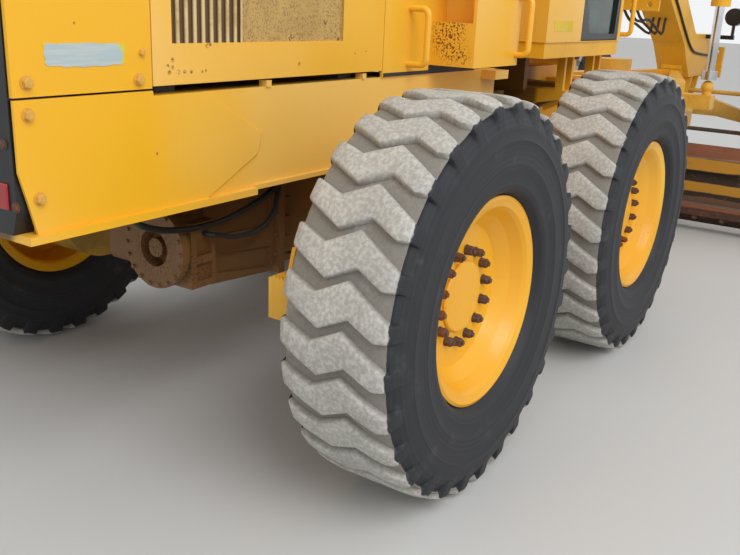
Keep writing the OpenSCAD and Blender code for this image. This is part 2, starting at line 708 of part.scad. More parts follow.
// Tandem case, with the rear step that hangs behind it
module tandem(side) {
    y0 = case_y;
    y1 = case_y + case_w;
    ends = [rear_axle_x, mid_axle_x];
    color(yellow) on_side(side) {
        difference() {
            union() {
                plate_xz([
                    [rear_axle_x, axle_z - case_end_r], [tandem_x - 260, axle_z - case_h / 2],
                    [tandem_x + 260, axle_z - case_h / 2], [mid_axle_x, axle_z - case_end_r],
                    [mid_axle_x, axle_z + case_end_r], [tandem_x + 260, axle_z + case_h / 2],
                    [tandem_x - 260, axle_z + case_h / 2], [rear_axle_x, axle_z + case_end_r]
                ], y0, y1);
                for (x = ends) rod_y(x, y0, y1, axle_z, case_end_r);
            }
            rod_y(tandem_x, y0 - 1, y0 + pivot_d + 1, axle_z, pivot_r);
        }
        tandem_step(y0);
    }
}
step_y = 174;
module tandem_step(y0) {
    x1 = rear_axle_x - case_end_r + 40;
    x0 = rear_axle_x - 540;
    arm_y = y0 + step_y;
    out_y = wheel_y - tyre_w / 2 - 14;
    low = axle_z - 11;
    top = axle_z + 117;
    // Arm, and a channel with teeth on its tread
    plate_xz([
        [x0, low], [x0 + 110, low], [x1, axle_z + 30], [x1, axle_z + 150], [x0 + 180, axle_z + 186],
        [x0 + 110, axle_z + 186], [x0 + 90, top], [x0, top]
    ], arm_y - 14, arm_y);
    block(x0, x0 + 12, arm_y - 1, out_y, low, top);
    block(x0, x0 + 150, arm_y - 1, out_y, top - 12, top);
    for (x = [x0, x0 + 46, x0 + 92, x0 + 138])
        plate_yz(concat(
            [for (i = [0:5]) each [[arm_y + 2 + 13.5 * i, top - 1], [arm_y + 8.5 + 13.5 * i, top + 11]]],
            [[arm_y + 83, top - 1], [arm_y + 83, top - 6], [arm_y + 2, top - 6]]
        ), x, x + 8);
}

// Front frame
beam_half = beam_w / 2;
beam_top_z = arch_z + beam_h;
nose_z = 1010;
nose_top_z = 1420;
neck_z = [880, 1240];
neck_x = cab_front_x + 40;
module front_frame() {
    color(yellow) {
        plate_xz(rounded([
            [hitch_x + 190, neck_z[0]], [neck_x + 40, neck_z[0], 120],
            [neck_x + 250, neck_z[0] + 330, 150], [neck_x + 290, arch_z, 160],
            [circle_x + 1150, arch_z, 200], [front_axle_x - 640, nose_z + 320, 160],
            [front_axle_x - 300, nose_z], [front_x - 180, nose_z],
            [front_x - 180, nose_top_z, 60], [front_axle_x - 250, nose_top_z, 200],
            [circle_x + 1250, beam_top_z, 200], [neck_x + 60, beam_top_z, 160],
            [neck_x, neck_z[1], 60], [hitch_x + 190, neck_z[1]]
        ], 8), -beam_half, beam_half);
        hitch_front();
        cab_mounts();
        push_block();
        drawbar_socket();
        axle_lugs();
    }
}
// Push block at the nose, with four bolt holes for a front tool
push_y = 240;
push_z = [nose_z - 40, nose_z + 280];
push_t = 60;
push_hole = [180, 110];
push_hole_r = 16.5;
module push_block() {
    difference() {
        union() {
            block(front_x - push_t, front_x, -push_y, push_y, push_z[0], push_z[1]);
            block(front_x - 181, front_x - push_t + 1, -beam_half, beam_half, nose_z, push_z[1]);
        }
        both_sides()
            for (z = [-1, 1])
                rod_x(front_x - push_t - 1, front_x + 1, push_hole[0],
                      (push_z[0] + push_z[1]) / 2 + z * push_hole[1], push_hole_r);
    }
}
ball_x = front_axle_x - 400;
ball_z = 1000;
ball_r = 60;
socket_r = ball_r + part_gap;
module drawbar_socket() {
    difference() {
        block(ball_x - 20, ball_x + 120, -100, 100, ball_z - 90, nose_z + 200);
        translate([ball_x, 0, ball_z]) sphere(r = socket_r);
        // Mouth that lets the drawbar's neck swing
        block(ball_x - 21, ball_x, -101, 101, ball_z - 91, ball_z + socket_r + 20);
    }
}
axle_pin_r = 50;
axle_lug_z = 740;
module axle_lugs() {
    for (x = [front_axle_x - 150, front_axle_x + 110]) {
        difference() {
            plate_yz(rounded([
                [-150, nose_z + 10], [-90, axle_lug_z - 90, 60], [90, axle_lug_z - 90, 60],
                [150, nose_z + 10]
            ]), x, x + 40);
            rod_x(x - 1, x + 41, 0, axle_lug_z, axle_pin_r);
        }
    }
}
tongue_gap = 8;
module hitch_front() {
    low = hitch_low_z + hitch_ear_t + tongue_gap;
    high = hitch_high_z - tongue_gap - hitch_ear_t;
    lobe = 58;
    tongue = rounded([
        [artic_b.x + lobe, -beam_half], [artic_b.x + lobe, beam_half],
        [artic_b.x + lobe, artic_b.y + lobe, 50], [artic_b.x - lobe, artic_b.y + lobe, 50],
        [artic_b.x - lobe, beam_half], [hitch_x, hitch_ear_r],
        [hitch_x - hitch_ear_r, hitch_ear_r, 100], [hitch_x - hitch_ear_r, -hitch_ear_r, 100],
        [hitch_x, -hitch_ear_r], [artic_b.x - lobe, -beam_half],
        [artic_b.x - lobe, -artic_b.y - lobe, 50], [artic_b.x + lobe, -artic_b.y - lobe, 50]
    ], 8);
    difference() {
        for (z = [low, high]) plate_xy(tongue, z, z + hitch_ear_t);
        rod_z(hitch_x, 0, low - 1, high + hitch_ear_t + 1, hitch_pin_r + slip);
    }
    // Loose pins for the articulation rods
    both_sides() rod_z(artic_b.x, artic_b.y, low + hitch_ear_t - 1, high + 1, artic_loose_pin_r);
}
// Outriggers that carry the cab floor
module cab_mounts() {
    for (x = [hitch_x + 550, hitch_x + 980, cab_front_x - 140]) both_sides() {
        post_y = x > cab_taper_x + 100 ? 400 : 560;
        plate_yz([
            [beam_half - 1, 950], [beam_half - 1, 1165], [620, 1165], [620, 1120], [420, 1080]
        ], x - 70, x + 70);
        for (s = [-66, 40]) block(x + s, x + s + 26, post_y, post_y + 44, 1164, floor_z);
    }
    both_sides() block(hitch_x + 420, hitch_x + 470, beam_half - 1, 400, 1150, floor_z);
}

// Lift arms and cylinders
lift_x = circle_x - 90;
lift_r = 55;
rod_r = 32;
barrel_z = [1680, 2790];
saddle_z = [1900, 2080];
lift_ball_z = 1100;
lift_ball_r = 45;
lift_cap_z = lift_ball_z + lift_ball_r + part_gap;
module lift_saddle() {
    mid_z = (saddle_z[0] + saddle_z[1]) / 2;
    color(yellow) {
        difference() {
            block(lift_x - 130, lift_x + 130, -beam_half - 40, beam_half + 40, arch_z - 40,
                  beam_top_z + 40);
            block(lift_x - 131, lift_x + 131, -beam_half, beam_half, arch_z, beam_top_z);
        }
        // Bar with a row of pin holes
        difference() {
            plate_yz([
                [-430, arch_z - 180], [430, arch_z - 180], [430, arch_z - 90], [190, arch_z - 30],
                [-190, arch_z - 30], [-430, arch_z - 90]
            ], lift_x + 60, lift_x + 88);
            for (i = [-3:3]) rod_x(lift_x + 59, lift_x + 89, i * 120, arch_z - 134, 20);
        }
        both_sides() {
            for (s = [-1, 1])
                plate_yz([
                    [beam_half + 39, saddle_z[0] - 40], [lift_y + 70, saddle_z[0]],
                    [lift_y + 70, saddle_z[1]], [beam_half + 39, saddle_z[1] + 60]
                ], lift_x + s * (lift_r + 22) - 11, lift_x + s * (lift_r + 22) + 11);
            difference() {
                union() {
                    rod_z(lift_x, lift_y, barrel_z[0], barrel_z[1], lift_r);
                    rod_x(lift_x - lift_r - 12, lift_x + lift_r + 12, lift_y, mid_z, 40);
                    rod_z(lift_x, lift_y, barrel_z[0] - 20, barrel_z[0] + 50, lift_r + 12);
                }
                rod_z(lift_x, lift_y, barrel_z[0] - 21, barrel_z[1] - 40, rod_r + slip);
            }
        }
    }
}
module lift_rod(side) {
    color(chrome) on_side(side) {
        rod_z(lift_x, lift_y, lift_cap_z + 59, 2300, rod_r);
        rod_z(lift_x, lift_y, lift_cap_z, lift_cap_z + 60, lift_ball_r + 10);
    }
}

// Cab
cab_taper_x = cab_x + cab_straight_len;
cab_taper_m = (cab_nose_y - cab_y) / (cab_front_x - cab_taper_x);
cab_taper_k = sqrt(1 + pow(cab_taper_m, 2));
cab_taper_len = (cab_front_x - cab_taper_x) * cab_taper_k;
// Left half of the cab's outline, w inside its outer faces
function cab_half(w) = [
    [cab_x + w, cab_y - w], [cab_taper_x + w * (cab_taper_k - 1) / cab_taper_m, cab_y - w],
    [cab_front_x - w, cab_y - w * cab_taper_k + cab_taper_m * (cab_front_x - w - cab_taper_x)]
];
function cab_plan(w) = let (p = cab_half(w)) concat(p, [for (i = [2:-1:0]) [p[i].x, -p[i].y]]);
module at_taper() {
    both_sides()
        translate([cab_taper_x, cab_y, 0]) rotate([0, 0, atan(cab_taper_m)]) children();
}
door_x = [cab_x + cab_panel_len, cab_x + cab_panel_len + door_len];
door_open_z = [floor_top_z + 4, roof_z - 70];
win_z = [2010, roof_z - 90];
floor_inset = 8;
screen_y = cab_nose_y - 60;
sill_z = floor_top_z + 60;
quarter_x = [66, cab_taper_len - 70];
module cab_floor() {
    color(yellow) plate_xy(cab_plan(floor_inset), floor_z, floor_top_z);
}
module cab_body() {
    color(yellow) {
        difference() {
            plate_xy(cab_plan(0), floor_top_z, roof_z);
            plate_xy(cab_plan(cab_wall), floor_top_z - 1, roof_z + 1);
            both_sides() {
                block(door_x[0], door_x[1], cab_y - cab_wall - 1, cab_y + 1, door_open_z[0], door_open_z[1]);
                block(cab_x + 90, door_x[0] - 90, cab_y - cab_wall - 1, cab_y + 1, win_z[0], win_z[1]);
            }
            // Windscreen with two low lights, the quarter windows and the rear window
            block(cab_front_x - cab_wall - 1, cab_front_x + 1, -screen_y, screen_y, 1980, win_z[1]);
            both_sides()
                block(cab_front_x - cab_wall - 1, cab_front_x + 1, 100, screen_y, sill_z, 1920);
            at_taper() block(quarter_x[0], quarter_x[1], -cab_wall - 1, 1, sill_z, win_z[1]);
            block(cab_x - 1, cab_x + cab_wall + 1, -cab_y + 110, cab_y - 110, 2150, win_z[1]);
        }
        // Handrails ahead of the doors
        both_sides() cab_rail();
    }
}
rail_z = [floor_top_z + 34, 2380];
// Distance of the handrail ahead of the straight side, and how far it sinks into the drawn-in wall
rail_ahead = 120;
rail_sink = 3.158;
module cab_rail() {
    handle([cab_taper_x + rail_ahead, cab_y + cab_taper_m * rail_ahead - rail_sink, rail_z[0]],
           rail_z[1] - rail_z[0], 95, [0, 1, 0]);
}
module cab_roof() {
    side_y = cab_y + roof_over;
    nose_y = cab_nose_y + roof_over + 30;
    nose_x = cab_front_x + 2 * roof_over;
    color(yellow) difference() {
        plate_xy(rounded([
            [cab_x - roof_over, -side_y, 90], [cab_taper_x + roof_over, -side_y, 90], [nose_x, -nose_y, 90],
            [nose_x, nose_y, 90], [cab_taper_x + roof_over, side_y, 90], [cab_x - roof_over, side_y, 90]
        ], 8), roof_z, overall_h);
        plate_xy(cab_plan(cab_wall), roof_z - 1, overall_h - 40);
    }
}
module cab_glass() {
    mid = cab_wall / 2;
    color(glass) {
        block(cab_front_x - mid, cab_front_x - mid + glass_t, -screen_y, screen_y, 1980, win_z[1]);
        both_sides() {
            block(cab_front_x - mid, cab_front_x - mid + glass_t, 100, screen_y, sill_z, 1920);
            block(cab_x + 90, door_x[0] - 90, cab_y - mid, cab_y - mid + glass_t, win_z[0], win_z[1]);
        }
        at_taper() block(quarter_x[0], quarter_x[1], -mid, -mid + glass_t, sill_z, win_z[1]);
        block(cab_x + mid, cab_x + mid + glass_t, -cab_y + 110, cab_y - 110, 2150, win_z[1]);
    }
}
door_slack = 5;
door_frame_w = 40;
function door_light() =
    let (z = [door_open_z[0] + door_slack, door_open_z[1] - door_slack],
         x = [door_x[0] + door_slack, door_x[1] - door_slack])
    rounded([
        [x[0] + door_frame_w + 70, z[0] + 30], [x[1] - door_frame_w - 15, z[0] + 30],
        [x[1] - door_frame_w, z[0] + 240], [x[1] - door_frame_w, z[1] - door_frame_w, 40],
        [x[0] + door_frame_w, z[1] - door_frame_w, 40], [x[0] + door_frame_w, z[0] + 210]
    ]);
module door(side) {
    color(dark) on_side(side) difference() {
        block(door_x[0] + door_slack, door_x[1] - door_slack, cab_y - 40, cab_y,
              door_open_z[0] + door_slack, door_open_z[1] - door_slack);
        plate_xz(door_light(), cab_y - 41, cab_y + 1);
    }
}
module door_glass(side) {
    color(glass) on_side(side) plate_xz(door_light(), cab_y - 24, cab_y - 24 + glass_t);
}
seat_x = cab_x + 640;
module seat() {
    color(dark) {
        block(seat_x - 160, seat_x + 200, -170, 170, floor_top_z, floor_top_z + 330);
        block(seat_x - 230, seat_x + 260, -250, 250, floor_top_z + 330, floor_top_z + 450);
        plate_xz([
            [seat_x - 230, floor_top_z + 450], [seat_x - 110, floor_top_z + 450],
            [seat_x - 190, floor_top_z + 1080], [seat_x - 280, floor_top_z + 1080]
        ], -240, 240);
    }
}
console_x = seat_x + 560;
module steering_console() {
    color(dark) {
        plate_xz([
            [console_x - 20, floor_top_z], [console_x + 160, floor_top_z],
            [console_x + 40, floor_top_z + 760],
            [console_x - 60, floor_top_z + 760]
        ], -120, 120);
        translate([console_x - 60, 0, floor_top_z + 790]) rotate([0, -25, 0])
            rotate_extrude() translate([190, 0]) circle(r = 14, $fn = 16);
        translate([console_x - 60, 0, floor_top_z + 790]) rotate([0, -25, 0]) {
            translate([0, 0, -50]) cylinder(h = 60, r = 40);
            for (a = [0, 120, 240]) rotate([0, 0, a]) rotate([0, 90, 0]) cylinder(h = 188, r = 9);
        }
    }
}
ladder_x = [cab_front_x - 470, cab_front_x - 100];
ladder_pitch = 195;
ladder_z = 745;
module ladders() {
    color(yellow) both_sides() {
        for (x = ladder_x)
            block(x - 8, x + 8, 620, cab_y, ladder_z, ladder_z + 2 * ladder_pitch + 60);
        for (i = [0:2])
            let (z = ladder_z + 20 + i * ladder_pitch)
            block(ladder_x[0], ladder_x[1], 620, cab_y + 60, z, z + 30);
    }
}
// Mirrors on arms at the sides of the roof
module mirrors() {
    x = cab_taper_x + 60;
    y = cab_y + 12;
    z = roof_z - 50;
    color(dark) both_sides() {
        rod_z(x, y, z - 11, roof_z, 11);
        rod_y(x, y, y + 178, z, 11);
        rod_z(x, y + 178, z - 400, z + 11, 11);
        plate_yz(rounded([
            [y + 90, z - 400, 40], [y + 268, z - 400, 40], [y + 268, z - 90, 40], [y + 90, z - 90, 40]
        ], 4), x - 16, x + 16);
    }
}
// Hoses along the arch and below the beam
module hoses_front() {
    y = beam_half + 11;
    // Middle of the sloping underside ahead of the arch, and the direction out of it
    slope = [[circle_x + 1150, arch_z], [front_axle_x - 640, nose_z + 320]];
    run = unit(slope[1] - slope[0]);
    foot = (slope[0] + slope[1]) / 2;
    color(dark) {
        both_sides() for (i = [0:1])
            hose([
                [neck_x + 210 + 40 * i, y, 1270], [neck_x + 300 + 26 * i, y, 1420],
                [neck_x + 360 + 24 * i, y, 1640],
                [neck_x + 480 + 20 * i, y, 1850 - 40 * i], [lift_x - 250, y, 1980 - 50 * i],
                [lift_x - 190, y, 1985 - 50 * i], [lift_x - 160, y, 1985 - 50 * i],
                [lift_x - 130, y, 1985 - 50 * i]
            ], 11);
        both_sides()
            hose([
                [lift_x + 130, y, 1960], [lift_x + 180, y, 1960], [lift_x + 240, y, 1960],
                [lift_x + 500, y, 1960], [circle_x + 1000, y, 1930],
                [circle_x + 1420, y, 1720], [front_axle_x - 760, y, 1480], [front_axle_x - 420, y, 1300],
                [front_axle_x - 150, y, 1240], [front_x - 182, y, 1200]
            ], 11);
        for (i = [0:2])
            hose([
                [circle_x + 620, 80 - 60 * i, arch_z], [circle_x + 620, 80 - 60 * i, arch_z - 22],
                [circle_x + 620, 80 - 60 * i, arch_z - 45],
                [circle_x + 660, 70 - 56 * i, arch_z - 140],
                [circle_x + 840, 60 - 54 * i, arch_z - 250],
                [circle_x + 1060, 60 - 56 * i, arch_z - 290 + 20 * i],
                for (d = [160, 45, 22, 0])
                    [foot.x + d * run.y, 60 - 56 * i, foot.y - d * run.x]
            ], 12);
    }
}
lamp_y = 400;
lamp_z = nose_top_z + 180;
module lamp_bar() {
    color(dark) {
        both_sides() {
            block(front_axle_x + 150, front_axle_x + 200, beam_half, lamp_y + 20, nose_top_z - 40,
                  nose_top_z);
            rod_z(front_axle_x + 175, lamp_y, nose_top_z - 1, lamp_z - 80, 16);
            rod_x(front_axle_x + 110, front_axle_x + 220, lamp_y, lamp_z, 85);
            // Work lamps at both ends of the cab roof
            block(cab_front_x + 2 * roof_over, cab_front_x + 2 * roof_over + 70, 250, 400, roof_z + 14,
                  roof_z + 104);
            block(cab_x - roof_over - 70, cab_x - roof_over, 400, 550, roof_z + 14, roof_z + 104);
        }
    }
}

// Articulation cylinders, beside the hitch
artic_a = [hitch_x - 520, 230];
artic_b = [hitch_x + 250, 300];
artic_z = frame_z + 75;
artic_r = 46;
artic_rod_r = 26;
artic_pin_r = 30;
artic_loose_pin_r = 13;
artic_eye_h = 32;
artic_d = artic_b - artic_a;
artic_len = norm(artic_d);
artic_turn = atan2(artic_d.y, artic_d.x);
module along_artic(side) {
    on_side(side) translate([artic_a.x, artic_a.y, artic_z]) rotate([0, 0, artic_turn]) children();
}
module artic_barrel(side) {
    color(yellow) along_artic(side) difference() {
        union() {
            rod_x(40, 450, 0, 0, artic_r);
            rod_z(0, 0, -artic_eye_h, artic_eye_h, 58);
        }
        rod_z(0, 0, -artic_eye_h - 1, artic_eye_h + 1, artic_pin_r);
        rod_x(80, 451, 0, 0, artic_rod_r + slip);
    }
}
module artic_rod(side) {
    color(chrome) along_artic(side) difference() {
        union() {
            rod_x(210, artic_len - 40, 0, 0, artic_rod_r);
            rod_z(artic_len, 0, -28, 28, 50);
        }
        rod_z(artic_len, 0, -29, 29, 28);
    }
}

// Drawbar, circle and blade
drawbar_z = [circle_z + circle_t + 20, 1080];
module drawbar() {
    rear = circle_x - 700;
    color(yellow) {
        both_sides() {
            plate_xy([
                [ball_x - 110, 20], [ball_x - 110, 90], [circle_x + 560, 560], [rear, 560],
                [rear, 430], [circle_x + 500, 430]
            ], drawbar_z[0], drawbar_z[1]);
            // Arm out to the lift cylinder, with its ball stud
            block(lift_x - 70, lift_x + 70, 559, lift_y + 50, drawbar_z[0] + 20, drawbar_z[1] - 40);
            rod_z(lift_x, lift_y, drawbar_z[1] - 41, lift_ball_z, 32);
            translate([lift_x, lift_y, lift_ball_z]) sphere(r = lift_ball_r);
            circle_shoes();
        }
        block(ball_x - 160, ball_x - 100, -90, 90, drawbar_z[0], drawbar_z[1]);
        rod_x(ball_x - 101, ball_x, 0, ball_z, 34);
        translate([ball_x, 0, ball_z]) sphere(r = ball_r);
        for (x = [rear, circle_x - 60, circle_x + 440])
            block(x, x + 120, -440, 440, drawbar_z[0], drawbar_z[1] - 20);
        // Gearbox that turns the circle
        rod_z(circle_x + 380, 0, drawbar_z[1] - 21, drawbar_z[1] + 150, 150);
    }
}
// Hooked shoes that carry the circle under the drawbar
shoe_angles = [42, 138];
module circle_shoes() {
    for (a = shoe_angles)
        translate([circle_x, 0, 0]) rotate([0, 0, a]) {
            block(circle_r + part_gap, circle_r + 50, -60, 60, circle_z - 34, drawbar_z[0] + 60);
            block(circle_r - 36, circle_r + part_gap + 1, -60, 60, circle_z - 34, circle_z - part_gap);
            block(circle_r - 260, circle_r + 50, -60, 60, drawbar_z[0], drawbar_z[0] + 60);
        }
}
module circle_ring() {
    inner = circle_r - circle_w;
    color(yellow) {
        difference() {
            rod_z(circle_x, 0, circle_z, circle_z + circle_t, circle_r);
            rod_z(circle_x, 0, circle_z - 1, circle_z + circle_t + 1, inner);
            // Gaps between the teeth inside the ring
            for (i = [0:gear_teeth - 1])
                translate([circle_x, 0, 0]) rotate([0, 0, 360 * i / gear_teeth])
                    block(inner - 20, inner + gear_depth, -gear_gap / 2, gear_gap / 2, circle_z + 30,
                          circle_z + circle_t + 1);
        }
        blade_arms();
    }
}
gear_teeth = 60;
gear_depth = 30;
gear_gap = 34;
arm_y = [430, 475];
tip_x = circle_x - 170;
tip_z = 250;
module blade_arms() {
    both_sides()
        difference() {
            plate_xz([
                [tip_x - 70, tip_z + 20], [tip_x - 20, tip_z - 60], [tip_x + 40, tip_z - 60],
                [tip_x + 45, tip_z + 40], [circle_x - 140, circle_z], [circle_x - 420, circle_z],
                [circle_x - 420, circle_z + 40], [circle_x - 520, circle_z + 40],
                [circle_x - 520, circle_z - 60], [circle_x - 430, circle_z - 140]
            ], arm_y[0], arm_y[1]);
            rod_y(tip_x, arm_y[0] - 1, arm_y[1] + 1, tip_z, 35);
        }
    rod_y(circle_x - 330, -arm_y[0] - 1, arm_y[0] + 1, circle_z - 70, 45);
}
// The blade faces forward: an arc whose middle lies ahead of it
blade_low = blade_clear;
blade_mid_z = blade_clear + blade_h / 2;
blade_arc_r = 480;
blade_back_x = circle_x + 30;
edge_t = 22;
edge_h = 150;
rail_x = blade_back_x - 50;
blade_c = [blade_back_x + blade_arc_r, blade_mid_z + 20];
blade_a = asin((blade_h / 2 - 20) / blade_arc_r);
rail_low_z = [130, 215];
rail_high_z = [470, 570];
function back_x(z) = blade_c.x - sqrt(pow(blade_arc_r, 2) - pow(z - blade_c.y, 2));
module moldboard() {
    n = 12;
    outer = [for (i = [0:n]) let (a = 180 - blade_a + 2 * blade_a * i / n)
             blade_c + blade_arc_r * [cos(a), sin(a)]];
    inner = [for (i = [n:-1:0]) let (a = 180 - blade_a + 2 * blade_a * i / n)
             blade_c + (blade_arc_r - blade_t) * [cos(a), sin(a)]];
    half = blade_len / 2;
    color(yellow) plate_xz(concat(outer, inner), -half, half);
    color(steel) {
        // Rails on the back for the side shift
        for (z = [rail_low_z, rail_high_z])
            block(rail_x, back_x(z == rail_low_z ? z[1] : z[0]) + 8, 200 - half, half - 200, z[0], z[1]);
        // Cutting edge, bolted on along the lower edge
        up = [-sin(blade_a), cos(blade_a)];
        out = [cos(blade_a), sin(blade_a)];
        foot = blade_c + (blade_arc_r - blade_t / 2) * [-cos(blade_a), -sin(blade_a)];
        tip = foot - up * ((foot.y - blade_low) / up.y);
        plate_xz([
            tip, tip + out * edge_t, tip + out * edge_t + up * edge_h, tip + up * edge_h
        ], -half, half);
    }
}
module blade_carrier() {
    y = [arm_y[1] + part_gap, arm_y[1] + part_gap + 50];
    face_x = rail_x - part_gap;
    lip_x = rail_x + 24;
    color(yellow) {
        both_sides() {
            plate_xz([
                    [tip_x - 45, tip_z - 45], [face_x - 60, rail_low_z[0] - 36],
                    [lip_x, rail_low_z[0] - 36], [lip_x, rail_low_z[0] - part_gap],
                    [face_x, rail_low_z[0] - part_gap], [face_x, rail_high_z[1] + part_gap],
                    [lip_x, rail_high_z[1] + part_gap], [lip_x, rail_high_z[1] + 36],
                    [face_x - 70, rail_high_z[1] + 36], [tip_x - 45, tip_z + 60]
                ], y[0], y[1]);
            rod_y(tip_x, arm_y[0] - 20, y[1] + 15, tip_z, 35 - slip);
        }
        rod_y(face_x - 40, -y[0] - 1, y[0] + 1, rail_high_z[0] + 40, 32);
    }
}

// Front axle: beam, lean yokes, spindles
lean_pin_r = 28;
axle_half_x = 55;
cheek_x = axle_half_x + part_gap;
cheek_t = 24;
king_h = 60;
module front_axle() {
    color(yellow) {
        difference() {
            plate_yz(rounded([
                [-lean_y + 40, lean_z - 60, 40], [-420, lean_z - 10, 100], [420, lean_z - 10, 100],
                [lean_y - 40, lean_z - 60, 40], [lean_y + 45, lean_z - 60, 45],
                [lean_y + 45, lean_z + 60, 45], [lean_y - 80, lean_z + 60, 40],
                [260, axle_lug_z + 85, 120], [-260, axle_lug_z + 85, 120],
                [-lean_y + 80, lean_z + 60, 40], [-lean_y - 45, lean_z + 60, 45],
                [-lean_y - 45, lean_z - 60, 45]
            ]), front_axle_x - axle_half_x, front_axle_x + axle_half_x);
            both_sides() rod_x(front_axle_x - axle_half_x - 1, front_axle_x + axle_half_x + 1,
                               lean_y, lean_z, lean_pin_r);
        }
        rod_x(front_axle_x - 150, front_axle_x + 150, 0, axle_lug_z, axle_pin_r - slip);
    }
}
lean_bar_z = 865;
bar_eye_r = 42;
bar_hole_r = 30;
lean_loose_pin_r = 11;
module lean_yoke(side) {
    color(yellow) on_side(side) {
        // Fore and aft cheeks round the axle end
        for (x = [-cheek_x - cheek_t, cheek_x])
            plate_yz(rounded([
                [lean_y - 50, lean_z - 55, 40], [kingpin_y - 60, lean_z - king_h],
                [kingpin_y - 60, lean_z + 90], [lean_y + 35, lean_bar_z + 35, 30],
                [lean_y - 35, lean_bar_z + 35, 30]
            ]), front_axle_x + x, front_axle_x + x + cheek_t);
        both = cheek_x + cheek_t;
        rod_x(front_axle_x - both, front_axle_x + both, lean_y, lean_z, lean_pin_r - slip);
        rod_x(front_axle_x - both, front_axle_x + both, lean_y, lean_bar_z, lean_loose_pin_r);
        block(front_axle_x - both, front_axle_x + both, lean_y + 80, kingpin_y - 60, lean_z - king_h,
              lean_z + king_h);
        block(front_axle_x - 40, front_axle_x + 40, kingpin_y - 61, kingpin_y, lean_z - king_h,
              lean_z + king_h);
        rod_z(front_axle_x, kingpin_y, lean_z - king_h, lean_z + king_h, 42);
        rod_z(front_axle_x, kingpin_y, lean_z - king_h - 40, lean_z + king_h + 40, 24);
    }
}
arm_back = 240;
arm_tip_y = lean_y;
tie_end_y = arm_tip_y - 35;
module spindle(side) {
    ear = [king_h + part_gap, king_h + part_gap + 34];
    color(yellow) on_side(side) {
        difference() {
            union() {
                for (z = [lean_z + ear[0], lean_z - ear[1]])
                    block(front_axle_x - 50, front_axle_x + 50, kingpin_y - 45, kingpin_y + 60, z, z + 34);
                block(front_axle_x - 50, front_axle_x + 50, kingpin_y + 48, kingpin_y + 68,
                      lean_z - ear[1], lean_z + ear[1]);
                // Steering arm
                plate_xy([
                    [front_axle_x - 49, kingpin_y - 45], [front_axle_x - 49, kingpin_y + 20],
                    [front_axle_x - arm_back - 25, arm_tip_y + 25],
                    [front_axle_x - arm_back - 25, arm_tip_y - 25],
                    [front_axle_x - arm_back + 25, arm_tip_y - 25]
                ], lean_z - ear[1], lean_z - ear[1] + 30);
            }
            rod_z(front_axle_x, kingpin_y, lean_z - ear[1] - 1, lean_z + ear[1] + 1, 24 + slip);
        }
        rod_y(front_axle_x, kingpin_y + 67, kingpin_y + 82, axle_z, 60);
    }
}
module lean_bar() {
    color(yellow) difference() {
        union() {
            rod_y(front_axle_x, -lean_y + 30, lean_y - 30, lean_bar_z, 22);
            both_sides() rod_x(front_axle_x - 45, front_axle_x + 45, lean_y, lean_bar_z, bar_eye_r);
        }
        both_sides() rod_x(front_axle_x - 46, front_axle_x + 46, lean_y, lean_bar_z, bar_hole_r);
    }
}
module tie_rod() {
    top = lean_z - king_h - part_gap - 34 - 12;
    color(steel) {
        rod_y(front_axle_x - arm_back, -tie_end_y, tie_end_y, top - 22, 20);
        both_sides() rod_z(front_axle_x - arm_back, tie_end_y, top - 44, top, 26);
    }
}
front_hub_in = kingpin_y + 88 - wheel_y;

rear_frame();
rear_panel();
radiator_door();
hood();
hood_door(1);  // hood_door_left
hood_door(-1);  // hood_door_right
engine();
transmission();
final_drive();
tank(1);  // tank_left
tank(-1);  // tank_right
exhaust();
hoses_tractor();
tandem(1);  // tandem_left
tandem(-1);  // tandem_right
at_wheel(rear_axle_x, 1) mirror([1, 0, 0]) tyre(lug_phase[0]);  // tyre_rear_left
at_wheel(rear_axle_x, -1) tyre(lug_phase[0]);  // tyre_rear_right
at_wheel(mid_axle_x, 1) mirror([1, 0, 0]) tyre(lug_phase[1]);  // tyre_mid_left
at_wheel(mid_axle_x, -1) tyre(lug_phase[1]);  // tyre_mid_right
at_wheel(front_axle_x, 1) mirror([1, 0, 0]) tyre(lug_phase[2]);  // tyre_front_left
at_wheel(front_axle_x, -1) tyre(lug_phase[2]);  // tyre_front_right
at_wheel(rear_axle_x, 1) rim(drum_r, drum_in);  // rim_rear_left
at_wheel(rear_axle_x, -1) rim(drum_r, drum_in);  // rim_rear_right
at_wheel(mid_axle_x, 1) rim(drum_r, drum_in);  // rim_mid_left
at_wheel(mid_axle_x, -1) rim(drum_r, drum_in);  // rim_mid_right
at_wheel(front_axle_x, 1) rim(90, front_hub_in);  // rim_front_left
at_wheel(front_axle_x, -1) rim(90, front_hub_in);  // rim_front_right
front_frame();
lift_saddle();
cab_floor();
cab_body();
cab_roof();
cab_glass();
seat();
steering_console();
door(1);  // door_left
door(-1);  // door_right
door_glass(1);  // door_glass_left
door_glass(-1);  // door_glass_right
ladders();
lamp_bar();
mirrors();
hoses_front();
artic_barrel(1);  // artic_barrel_left
artic_barrel(-1);  // artic_barrel_right
artic_rod(1);  // artic_rod_left
artic_rod(-1);  // artic_rod_right
drawbar();
lift_rod(1);  // lift_rod_left
lift_rod(-1);  // lift_rod_right
circle_ring();  // circle
blade_carrier();
moldboard();
front_axle();
lean_bar();
tie_rod();
lean_yoke(1);  // lean_yoke_left
lean_yoke(-1);  // lean_yoke_right
spindle(1);  // spindle_left
spindle(-1);  // spindle_right
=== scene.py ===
import math

import bmesh
import bpy
import numpy as np
from bpy.props import FloatProperty, FloatVectorProperty, IntProperty, PointerProperty
from mathutils import Matrix, Vector


